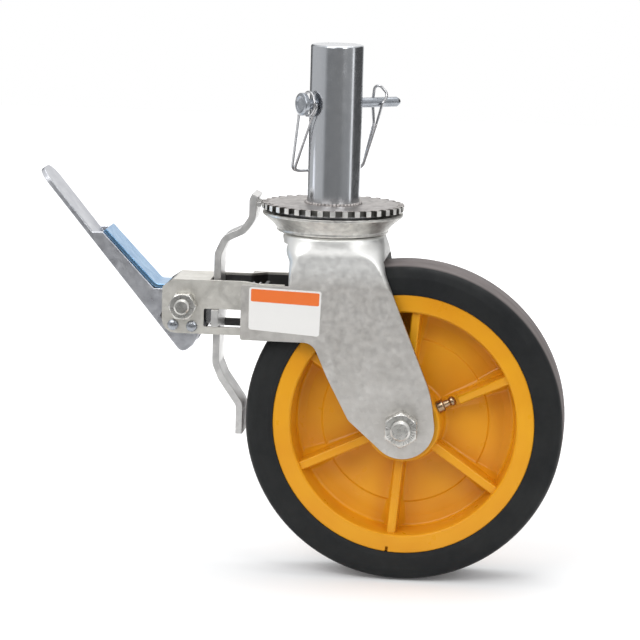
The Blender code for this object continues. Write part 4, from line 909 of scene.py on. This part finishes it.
def ring_points(front, rear, half_width, squareness, height, count=112):
    """A closed ring: a circle at squareness 2, nearly a rectangle at 8."""
    fullness = 1 + 0.01 * (squareness - 2)
    ring = []
    for i in range(count):
        across, along = polar(1, 2 * math.pi * (i + 0.5) / count)
        x = min(fullness * abs(across) ** (2 / squareness), 1)
        y = min(fullness * abs(along) ** (2 / squareness), 1)
        ring.append((
            (front + rear) / 2 + math.copysign(x, across) * (rear - front) / 2,
            math.copysign(y, along) * half_width, height,
        ))
    return ring


def neck_ring(height, inset):
    """The neck at one height, round under the cup and square where the legs are flat."""
    share = smooth_step((CROWN_TOP - height) / NECK_HEIGHT)
    front = -CROWN_FRONT + (CROWN_FRONT - LEG_FRONT) * min(1.4 * share, 1)
    rear = leg_rear(height) - REAR_LAP + REAR_BULGE * (1 - share)
    half_width = CROWN_HALF + (LEG_OUTER - NECK_LAP - CROWN_HALF) * smooth_step(2 * share)
    return ring_points(front + inset, rear - inset, half_width - inset, 2.6 + 5.4 * share, height)


for height in (CROWN_TOP, LEG_FLAT):
    widest = max(y for _, y, _ in neck_ring(height, 0))
    print("neck is", round(2 * widest, 1), "mm wide at height", round(height, 1))

# %% [markdown]
# The rings go down the outside and come back up a sheet's thickness further in, so the neck is a
# closed shell with true walls. The bend at the crown is a quarter turn of six rings.

# %% Neck
def neck():
    """Rings from the crown's bore over its top, down the neck and back up inside it."""
    shoulder = CROWN_TOP - NECK_BEND
    rings = [ring_points(-CROWN_BORE, CROWN_BORE, CROWN_BORE, 2, CROWN_TOP)]
    for turn in range(0, 90, 15):
        across, up = polar(NECK_BEND, math.radians(90 - turn))
        rings.append([(x, y, shoulder + up) for x, y, _ in neck_ring(shoulder, NECK_BEND - across)])
    steps = 16
    heights = [shoulder + (LEG_FLAT - shoulder) * i / steps for i in range(steps + 1)]
    heights.append(LEG_FLAT - 8)
    rings += [neck_ring(height, 0) for height in heights]
    heights[0] = CROWN_UNDERSIDE
    rings += [neck_ring(height, SHEET - 2 * NECK_LAP) for height in heights[::-1]]
    rings.append(ring_points(-CROWN_BORE, CROWN_BORE, CROWN_BORE, 2, CROWN_UNDERSIDE))
    shape = bmesh.new()
    grid = [[shape.verts.new(p) for p in ring] for ring in rings]
    for upper, lower in zip(grid, grid[1:] + grid[:1]):
        for j in range(len(upper)):
            k = (j + 1) % len(upper)
            shape.faces.new([upper[j], lower[j], lower[k], upper[k]])
    bmesh.ops.triangulate(shape, faces=shape.faces)
    return keep_mesh("pressed_fork", shape)


fork = neck()
print("neck has", len(fork.data.polygons), "faces")

# %% [markdown]
# ## Legs
# Each leg is a flat plate, so its side view drawn out to the sheet's thickness is enough. The
# outline leans back to the axle, turns round it, and comes up again to the short arm that carries
# the brake housing.

# %% Outline of a leg
ARM_END = -54
ARM_TOP = -50.6
ARM_BOTTOM = -85.6
LEG_END_RADIUS = 20.4
LEG_KNEE = 20.8
REAR_BOW = 90
THROAT_FRONT = -7.8
REAR_TURN = math.radians(4)
FRONT_TURN = math.radians(-136)


def leg_outline():
    """One leg with its forward arm, seen from the side."""
    end = Vector((AXLE[0], AXLE[2]))
    top = LEG_FLAT - 2
    shoulder = top - 5
    knee = AXLE[2] + LEG_KNEE
    rear = [
        (leg_rear(shoulder), shoulder), (leg_rear(knee), knee),
        tuple(end + polar(LEG_END_RADIUS, REAR_TURN)),
    ]
    outline = rounded(rear, REAR_BOW, closed=False, steps=12)
    outline += arc(end, LEG_END_RADIUS, REAR_TURN, FRONT_TURN, 40)[1:]
    throat = Vector((THROAT_FRONT, ARM_BOTTOM))
    run = end - throat
    below = rounded([
        tuple(outline[-1]),
        (throat.x + 0.41 * run.x, throat.y + 0.94 * run.y, 9),
        (throat.x + 0.17 * run.x, throat.y + 0.43 * run.y, 9),
        (throat.x, throat.y, 9), (ARM_END, ARM_BOTTOM, 1.5), (ARM_END, ARM_TOP, 1.5),
        (-LEG_FRONT, ARM_TOP, 1), (3 - LEG_FRONT, top, 3), (leg_rear(top) - 4, top),
    ], closed=False, steps=10)
    return outline + below[1:]


print("a leg's outline has", len(leg_outline()), "points")

# %% [markdown]
# A press rounds the rim of a leg on both sides. We round it only below the neck. Its top lies
# inside the neck, where a rounded edge would show as a line across the steel.

# %% Legs
def soften_rim(made, width, below):
    """Rounds both rims of a plate that stands across Y, but only below a height."""
    mesh = made.data
    weights = mesh.attributes.new("bevel_weight_edge", "FLOAT", "EDGE").data
    for edge in mesh.edges:
        a, b = (mesh.vertices[i].co for i in edge.vertices)
        on_face = abs(a.y - b.y) < 0.01 * MM
        weights[edge.index].value = float(on_face and max(a.z, b.z) < below * MM)
    step = made.modifiers.new("soft_rim", "BEVEL")
    step.width = width * MM
    step.segments = 3
    step.limit_method = "WEIGHT"
    return bake_modifiers(made)


RIM_SOFTNESS = 0.7
for low in (-LEG_OUTER, LEG_OUTER - SHEET):
    leg = drawn_out("leg", leg_outline(), low, low + SHEET)
    carve(fork, soften_rim(leg, RIM_SOFTNESS, LEG_FLAT - 2.5), "UNION")
print("fork has", len(fork.data.polygons), "faces with its legs")

# %% [markdown]
# The press leaves a mouth at the front for the brake bar's spring, an arch over the tyre and a
# hole for the axle. These cuts come last, as they do in the press shop.

# %% Mouth, arch and axle hole
MOUTH_HALF = 24
MOUTH_END = -62
mouth_top = CROWN_UNDERSIDE - 2
mouth = [(MOUTH_END, mouth_top), (0, mouth_top), (0, 2 * LEG_FLAT), (MOUTH_END, 2 * LEG_FLAT)]
carve(fork, drawn_out("mouth", mouth, -MOUTH_HALF, MOUTH_HALF))
TYRE_ROOM = 4
ARCH_HALF = 27
carve(fork, spun("arch", rod(TYRE_OUTER + TYRE_ROOM, -ARCH_HALF, ARCH_HALF), "Y", AXLE, 144))
AXLE_RADIUS = 6.35
carve(fork, spun("axle_hole", rod(AXLE_RADIUS + 0.3, -60, 60), "Y", AXLE, 48))
fit_out(calm_faces(fork), FORK_ZINC, "fork", "zinc_steel", "fork")

# %% [markdown]
# ## Label
# A printed film is stuck on the fork's arm: an orange band over a white field. We leave the print
# bare. It is two films a tenth of a millimetre thick, which is enough to catch light at an edge.

# %% Label
FILM = 0.12
FIELD_CORNERS = [(-48.7, -51.4), (-2.8, -52.7), (-3.8, -81.4), (-48.7, -78.4)]
BAND_CORNERS = [(-47.5, -52.5), (-4.0, -53.8), (-4.3, -62.0), (-47.5, -60.4)]


def film(name, corners, layer, corner_radius):
    """A thin film on the near leg. The layer says how many films lie under it."""
    low = -LEG_OUTER - FILM * (layer + 1)
    outline = rounded([(x, z, corner_radius) for x, z in corners])
    return drawn_out(name, outline, low, low + FILM)


white = film("label_field", FIELD_CORNERS, 0, 1.6)
orange = film("label_band", BAND_CORNERS, 1, 0.8)
fit_out(white, LABEL_WHITE, "fork", "label_white")
fit_out(orange, LABEL_ORANGE, "fork", "label_orange")

# %% [markdown]
# ## Nuts and bolts
# A nut is a hexagon bar whose corners are turned off at both ends, so it is the overlap of a
# prism and a lathe shape. The bolt's last millimetres show their thread as fine rings.

# %% Fastener helpers
def hex_block(name, flats, low, high, place, first_corner=0.0):
    """A hexagon with turned-off corners about an axis along Y through a place (x, z)."""
    corner = flats / math.sqrt(3)
    outline = [Vector(place) + polar(corner, first_corner + i * math.pi / 3) for i in range(6)]
    made = drawn_out(name, outline, low, high)
    flat = flats / 2 * 0.96
    drop = (corner - flat) * math.tan(math.radians(28))
    section = [
        (0, low), (flat, low), (corner, low + drop), (corner, high - drop), (flat, high), (0, high),
    ]
    lathe = spun("lathe", section, "Y", (place[0], 0, place[1]), 96)
    return soften(carve(made, lathe, "INTERSECT"), 0.25, above=24)


def bored(made, radius, place):
    """Cuts a round hole along Y."""
    return carve(made, spun("bore", rod(radius, -90, 90), "Y", (place[0], 0, place[1]), 64))


def threaded_rod(name, radius, end, start, far, place, pitch=1.5, depth=0.55):
    """A rod along Y with thread rings from its near end to start, plain from there to far."""
    lead = 1.2
    section = [(0, end), (radius - lead, end)]
    height = end + lead
    while height < start:
        crest = [(radius, height), (radius, height + 0.15 * pitch)]
        section += crest + [(radius - depth, height + 0.6 * pitch)]
        height += pitch
    section += [(radius, height), (radius, far), (0, far)]
    return spun(name, section, "Y", (place[0], 0, place[1]), 72)


# %% [markdown]
# ## Axle bolt
# One long bolt holds the wheel between the legs. Its head is on the far side and a lock nut is on
# the near side, with a few turns of thread left over. We turn both hexagons so that a corner
# points up, as the photographed nut happens to stand.

# %% Axle bolt and nut
AXLE_PLACE = (AXLE[0], AXLE[2])
CORNER_UP = math.pi / 6
LEG_FACE = LEG_OUTER + 0.3
nut = hex_block("axle_lock_nut", 20, -LEG_FACE - 11, -LEG_FACE, AXLE_PLACE, CORNER_UP)
nut = bored(nut, AXLE_RADIUS + 0.2, AXLE_PLACE)
fit_out(nut, FASTENER_ZINC, "fork", "fastener_zinc", "axle_nut")
bolt = threaded_rod("long_axle_bolt", AXLE_RADIUS, -48.5, -30, LEG_OUTER + 5, AXLE_PLACE)
head = hex_block("bolt_head", 19, LEG_FACE, LEG_FACE + 8, AXLE_PLACE, CORNER_UP)
fit_out(together(bolt, head), FASTENER_ZINC, "fork", "fastener_zinc", "axle_bolt")

# %% [markdown]
# ## Pivot bolt and stop rivets
# The pedal swings on a smaller bolt of the same kind. Two rivets below it run in curved slots in
# the pedal and stop its swing. A rivet's head is a flat dome, so it is a turned section again.

# %% Pivot bolt, nut and stop rivets
PIVOT = (-92, -66.6)
HOUSING_OUTER = 20.5
face = HOUSING_OUTER + 0.3
nut = bored(hex_block("pivot_lock_nut", 16, -face - 8, -face, PIVOT), 5.2, PIVOT)
fit_out(nut, FASTENER_ZINC, "fork", "fastener_zinc", "pivot_nut")
bolt = threaded_rod("long_pivot_bolt", 5, -face - 11, -17, face + 4, PIVOT, 1.25, 0.45)
head = hex_block("pivot_head", 17, face, face + 6.4, PIVOT)
fit_out(together(bolt, head), FASTENER_ZINC, "fork", "fastener_zinc", "pivot_bolt")

RIVET_CIRCLE = 14.5
RIVET_RADIUS = 2.7
DOME_RADIUS = 3.6
DOME_HEIGHT = 1.8
for index, node_name in enumerate(("rear_stop_pin", "front_stop_pin")):
    place = Vector(PIVOT) + polar(RIVET_CIRCLE, math.radians(-68 - 49 * index))
    turns = [math.pi / 2 * i / 8 for i in range(9)]
    dome = [(DOME_RADIUS * math.sin(t), -face - DOME_HEIGHT * math.cos(t)) for t in turns]
    shank = [(RIVET_RADIUS, -face), (RIVET_RADIUS, face)]
    section = dome + shank + [(radius, -height) for radius, height in dome[::-1]]
    rivet = spun(f"{node_name}_rivet", section, "Y", (place.x, 0, place.y), 40)
    fit_out(rivet, PIN_ZINC, "fork", "fastener_zinc", node_name)

# %% [markdown]
# ## Folded sheet
# The brake housing, pedal, strap and bar are blanked and folded from sheet. Their solids already
# have the right outline, so we copy them, join their triangles into whole faces and round every
# edge. A press tool pulls the edge of a sheet in a little, and that thin bright line is most of
# what tells the eye that a flat grey face is steel.

# %% Rounded copies of the sheet parts
def worn_copy(name, node_name, width):
    """A copy of a solid with its triangles joined into faces and its edges rounded."""
    shape = bmesh.new()
    shape.from_mesh(NODES[node_name].data)
    bmesh.ops.remove_doubles(shape, verts=shape.verts, dist=0.01 * MM)
    bmesh.ops.dissolve_limit(shape, angle_limit=math.radians(1), verts=shape.verts, edges=shape.edges)
    made = keep_mesh(name, shape, scale=1)
    return soften(made, width, above=30)


SHEET_PARTS = (
    ("folded_housing", "brake_housing", 0.5, HOUSING_ZINC, "fork", "zinc_steel"),
    ("foot_pedal", "pedal", 0.6, PEDAL_ZINC, "pedal", "pedal_zinc"),
    ("folded_strap", "pedal_strap", 0.5, STRAP_ZINC, "pedal", "pedal_zinc"),
    ("bent_bar", "brake_bar", 0.5, BAR_ZINC, "brake_bar", "bar_zinc"),
)
for name, node_name, width, finish, body, slot in SHEET_PARTS:
    fit_out(worn_copy(name, node_name, width), finish, body, slot, node_name)

# %% [markdown]
# ## Spring seat
# The return spring needs something to push against, so a plate stands across the fork's arms. It
# is low at both sides, where a higher edge would show above the arm, and has a tongue in the
# middle that the spring sits on.

# %% Spring seat
SEAT_FRONT, SEAT_BACK = -42.3, -39.8
seat = rounded([
    (-28, -80.8), (28, -80.8), (28, -62), (9, -62), (9, -53), (-9, -53), (-9, -62), (-28, -62),
], 2)
seat = drawn_out("seat_plate", seat, SEAT_FRONT, SEAT_BACK, "X", 0.4)
# The housing's finish paints shade on the seat too, as it stands between the arms.
fit_out(seat, HOUSING_ZINC, "fork", "zinc_steel", "spring_seat")

# %% [markdown]
# ## Lock pin
# The pin goes through the scaffold's tube and the stem. It is turned, with a dished head and a
# blunt tail, so it is drawn along X and then turned and lifted into the stem's cross hole by the
# same matrix that placed the hole.

# %% Lock pin
PIN_HEAD = 7.2
section = rounded([
    (0, -25.6), (4.0, -25.6, 0.6), (5.4, -26.6, 0.8), (PIN_HEAD, -25.8, 0.7),
    (PIN_HEAD, -23, 0.4), (PIN_RADIUS, -23, 0.4), (PIN_RADIUS, 44.8, 1.5), (1.9, 47, 0.5), (0, 47),
], closed=False)
pin = spun("cross_pin", section, "X", segments=64)
pin.data.transform(to_stem)
fit_out(pin, PIN_ZINC, "lock_pin", "fastener_zinc", "lock_pin")

# %% [markdown]
# ## Clip
# The clip is a single wire: a coil behind the pin's head, two runs that snap behind the stem, and
# a loop that grips the tail. So it is one path of points. The coil is worked out, and the bends
# are corners that get rounded, because spring wire can't be bent sharply.

# %% Clip
WIRE = 0.9
COIL = 7.6
COIL_STEPS = 60
CLIP_DROP = 44.6
CLIP_FRONT = 19
CLIP_REACH = 32
CLIP_SPACING = 2.6
LOOP_NEAR = 29.8
LOOP_RISE = 14


def clip_line():
    """The clip's wire as points: along the pin, across it and up."""
    near = STEM_RADIUS + WIRE + 1
    far = near + 2 * WIRE + 0.5
    beside = PIN_RADIUS + WIRE + 0.3
    behind = STEM_RADIUS + WIRE + 0.8
    coil = []
    for i in range(COIL_STEPS + 1):
        across, up = polar(COIL, -3 * math.pi * i / COIL_STEPS)
        coil.append(Vector((-far + (far - near) * i / COIL_STEPS, across, up)))
    loose = [
        (-CLIP_FRONT, behind, -CLIP_DROP), (CLIP_REACH, behind, -CLIP_DROP),
        (LOOP_NEAR, -beside / 4, -LOOP_RISE), (CLIP_REACH, -beside, 0), (36.6, -0.8 * beside, 4.9),
        (LOOP_NEAR, beside / 3, LOOP_RISE), (LOOP_NEAR, beside, 0),
        (CLIP_REACH - WIRE, beside, -LOOP_RISE), (33.6, behind + CLIP_SPACING, -CLIP_DROP),
        (-CLIP_FRONT, behind + CLIP_SPACING, -CLIP_DROP), (-far, COIL + CLIP_SPACING, -COIL),
    ]
    return coil + rounded(coil[-1:] + [Vector(p) for p in loose], 4, 8, closed=False)[1:]


def wire_piece(name, line, radius, finish):
    """A mesh path of points in millimetres, swept into a wire."""
    mesh = bpy.data.meshes.new(name)
    mesh.from_pydata([p * MM for p in line], [(i, i + 1) for i in range(len(line) - 1)], [])
    made = bpy.data.objects.new(name, mesh)
    SCENE.collection.objects.link(made)
    return smoothed(grow(made, BENT_WIRE, {"Wire Radius": radius * MM, "Material": finish}), 50)


clip = wire_piece("spring_clip", clip_line(), WIRE, WIRE_STEEL)
clip.data.transform(to_stem)
fit_out(clip, WIRE_STEEL, "lock_pin", "wire_steel", "pin_clip")

# %% [markdown]
# ## Return spring
# The spring pushes the bar off the tyre again. Its front end moves with the bar and its rear end
# stays with the fork, so it can't ride on either. Here it rides on no body: it stays where it is
# built.

# %% Return spring
low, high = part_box("return_spring")
SPRING_WIRE = 0.8 * MM
spring = bpy.data.objects.new("coil_spring", bpy.data.meshes.new("coil_spring"))
SCENE.collection.objects.link(spring)
spring_start = (low[0] + SPRING_WIRE, 0.0, (low[2] + high[2]) / 2)
grow(spring, COILED_WIRE, {
    "Coil Radius": 6.2 * MM, "Length": high[0] - low[0] - 2 * SPRING_WIRE, "Turns": 6.0,
    "Start": spring_start, "Wire Radius": SPRING_WIRE, "Material": WIRE_STEEL,
})
paint(smoothed(spring, 50), WIRE_STEEL)
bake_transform(spring)
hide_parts("return_spring")

# %% [markdown]
# ## Finishes on the solids that stay
# Hidden parts, such as the bearing races, keep their solids. They get a finish too, because a
# reader may take the model apart.

# %% Dress the solids
STEEL_INSIDE = (
    "upper_race", "kingpin", "lower_race", "swivel_balls", "lower_balls", "axle_sleeve",
    "pivot_sleeve", "roller_bearing", "cam",
)
OTHER_FINISHES = {
    "stem": STEM_ZINC, "toothed_plate": PLATE_ZINC, "fork": FORK_ZINC, "bearing_cup": CUP_ZINC,
    "brake_housing": HOUSING_ZINC, "spring_seat": HOUSING_ZINC, "return_spring": WIRE_STEEL,
    "wheel_core": WHEEL_YELLOW, "tyre": TYRE_RUBBER, "grease_nipple": NIPPLE_BRASS,
    "pedal": PEDAL_ZINC, "pedal_strap": STRAP_ZINC, "brake_bar": BAR_ZINC, "lock_pin": PIN_ZINC,
    "pin_clip": WIRE_STEEL,
}
for node_name, solid in NODES.items():
    inside = BEARING_STEEL if node_name in STEEL_INSIDE else FASTENER_ZINC
    paint(solid, OTHER_FINISHES.get(node_name, inside))
print("solids dressed:", len(NODES))

# %% [markdown]
# ## A place to stand
# A product photograph on white needs three things: a sheet of paper that shows only a soft
# shadow, a surround for the metal to mirror, and a large light to give the shapes a side. The
# paper ends in front of the castor. What the steel mirrors there is the darker room, and that is
# what draws the dark bands on the stem. The paper glows a little for the camera and for mirrors
# alone, more with distance, so that it meets the white wall without a line.

# %% Paper
def background_rays(tree):
    """1 for what the camera, a mirror or glass sees directly, 0 for light on other things."""
    path = add(tree, "ShaderNodeLightPath").outputs
    seen = maths(tree, "MAXIMUM", path["Is Camera Ray"], path["Is Glossy Ray"])
    return maths(tree, "MAXIMUM", seen, path["Is Transmission Ray"])


PAPER_LIFT = 0.08
FAR_LIFT = 0.55


def paper_finish():
    """White paper without gloss."""
    finish = bpy.data.materials.new("white_paper")
    finish.use_nodes = True
    tree = finish.node_tree
    shader = tree.nodes["Principled BSDF"]
    shader.inputs["Base Color"].default_value = (0.86, 0.86, 0.86, 1)
    shader.inputs["Roughness"].default_value = 1.0
    shader.inputs["Specular IOR Level"].default_value = 0.0
    shader.inputs["Emission Color"].default_value = (1, 1, 1, 1)
    depth = place_parts(tree, add(tree, "ShaderNodeTexCoord").outputs["Object"])["Y"]
    further = spread(tree, depth, PAPER_LIFT, FAR_LIFT, 0.1, 0.9)
    lift = maths(tree, "MULTIPLY", background_rays(tree), further)
    tree.links.new(lift, shader.inputs["Emission Strength"])
    return finish


PAPER = [(-1100, -420), (1100, -420), (1100, 3000), (-1100, 3000)]
paper_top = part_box("tyre")[0][2] / MM - 0.2
paper = drawn_out("paper", PAPER, paper_top - 0.1, paper_top, "Z")
paint(paper, paper_finish())
print("paper's top at", round(paper_top, 1), "mm")

# %% [markdown]
# ## The room
# The room is brighter on the left and above, dark behind the camera and dark behind on the right,
# with one narrow bright gap between. We paint it by compass direction, measured from the camera's
# side: the angle of each ray goes through a ramp, and rays that rise steeply see the ceiling. A
# ramp only holds values up to 1, so it holds half of each light and the result is doubled.

# %% Painted room
ROOM = (
    (-180, 1.00), (-168, 0.95), (-162, 0.12), (-138, 0.12), (-126, 0.66), (-48, 0.60),
    (-36, 0.26), (30, 0.26), (44, 0.34), (76, 0.36), (79, 1.50), (83, 1.50), (88, 0.10),
    (150, 0.10), (166, 1.00), (180, 1.00),
)
CEILING = 0.95
TWICE = 2.0

world = bpy.data.worlds.new("soft_studio")
SCENE.world = world
world.use_nodes = True
tree = world.node_tree
back = tree.nodes["Background"]
parts = place_parts(tree, add(tree, "ShaderNodeTexCoord").outputs["Generated"])
toward_camera = maths(tree, "MULTIPLY", parts["Y"], -1.0)
compass = maths(tree, "ARCTAN2", parts["X"], toward_camera)
turned = maths(tree, "MULTIPLY_ADD", compass, 0.5 / math.pi, 0.5)
ramp = add(tree, "ShaderNodeValToRGB", {"Fac": turned})
stops = ramp.color_ramp.elements
stops.remove(stops[1])
stops[0].position = 0
stops[0].color = (ROOM[0][1] / TWICE,) * 3 + (1,)
for degrees, light in ROOM[1:]:
    stop = stops.new((degrees + 180) / 360)
    stop.color = (light / TWICE,) * 3 + (1,)
walls = maths(tree, "MULTIPLY", ramp.outputs["Color"], TWICE)
rise = add(tree, "ShaderNodeMapRange", {
    "Value": parts["Z"], "From Min": 0.25, "From Max": 0.75, "To Min": 0.0, "To Max": 1.0,
}, interpolation_type="SMOOTHSTEP").outputs["Result"]
room = add(tree, "ShaderNodeMix", {0: rise, 2: walls, 3: CEILING}, data_type="FLOAT").outputs[0]
tree.links.new(room, back.inputs["Strength"])
back.inputs["Color"].default_value = (0.98, 0.99, 1.0, 1)
print("room painted with", len(stops), "stops")

# %% [markdown]
# The painted room lights the castor and shows in its metal, but a product photograph is cut out
# on white. So a switch gives the camera plain white, and the same to metal or glass that looks at
# the wall behind the castor.

# %% White behind the castor
BACK_WALL = 166
white_wall = add(tree, "ShaderNodeBackground", {"Color": (1, 1, 1, 1), "Strength": 1.0})
is_camera = add(tree, "ShaderNodeLightPath").outputs["Is Camera Ray"]
behind = maths(tree, "GREATER_THAN", maths(tree, "ABSOLUTE", compass), math.radians(BACK_WALL))
mirrored_wall = maths(tree, "MULTIPLY", background_rays(tree), behind)
switch = add(tree, "ShaderNodeMixShader", {0: maths(tree, "MAXIMUM", is_camera, mirrored_wall)})
tree.links.new(back.outputs[0], switch.inputs[1])
tree.links.new(white_wall.outputs[0], switch.inputs[2])
tree.links.new(switch.outputs[0], tree.nodes["World Output"].inputs["Surface"])
print("white wall from", BACK_WALL, "degrees on")

# %% [markdown]
# ## Lamps
# Three soft boxes give the shapes a side: a key from the upper left, a weaker fill from the right
# and one above for the tops. They are large and stand well back, so that their shadows are soft,
# and they are weak, so that a colour renders about as it is written.

# %% Lamps
def softbox(name, place, aim, size, watts):
    """A rectangular lamp aimed at a point, with its size in metres."""
    light = bpy.data.lights.new(name, "AREA")
    light.shape = "RECTANGLE"
    light.size, light.size_y = size
    light.energy = watts
    made = bpy.data.objects.new(name, light)
    SCENE.collection.objects.link(made)
    made.location = place
    made.rotation_euler = (Vector(aim) - Vector(place)).to_track_quat("-Z", "Y").to_euler()
    return made


MIDDLE = (0, 0, -0.06)
softbox("key_box", (-0.7, -1.5, 1.1), MIDDLE, (1.2, 0.9), 15)
softbox("fill_box", (1.2, -1.5, 0.9), MIDDLE, (0.5, 0.8), 8)
softbox("top_box", (0.1, 0.3, 1.6), MIDDLE, (1.4, 1.4), 11)

# %% [markdown]
# ## Camera
# The camera's place was fitted to round things in the photograph: the rim, the tyre and the
# toothed plate. A long lens two metres away keeps the far leg almost behind the near one.

# %% Camera
AZIMUTH, ELEVATION, ROLL = (math.radians(v) for v in (5.3027, 8.6712, 1.5612))
DISTANCE = 2.1
IMAGE = 640
SENSOR = 36
FOCAL_PIXELS, AIM_X, AIM_Y = 3281.27, 330.806, 295.855
forward = Vector((
    -math.sin(AZIMUTH) * math.cos(ELEVATION),
    math.cos(AZIMUTH) * math.cos(ELEVATION),
    -math.sin(ELEVATION),
))
level = Vector((math.cos(AZIMUTH), math.sin(AZIMUTH), 0))
upright = level.cross(forward)
right = level * math.cos(ROLL) + upright * math.sin(ROLL)
up = upright * math.cos(ROLL) - level * math.sin(ROLL)
lens = bpy.data.cameras.new("camera")
lens.sensor_width = SENSOR
lens.lens = FOCAL_PIXELS / IMAGE * SENSOR
lens.shift_x = (IMAGE / 2 - AIM_X) / IMAGE
lens.shift_y = (AIM_Y - IMAGE / 2) / IMAGE
lens.clip_end = 100
camera = bpy.data.objects.new("camera", lens)
SCENE.collection.objects.link(camera)
SCENE.camera = camera
turn = Matrix((right, up, -forward)).transposed().to_4x4()
camera.matrix_world = Matrix.Translation(Vector(MIDDLE) - forward * DISTANCE) @ turn
SCENE.view_settings.view_transform = "Standard"
print("camera at", [round(v, 3) for v in camera.location])
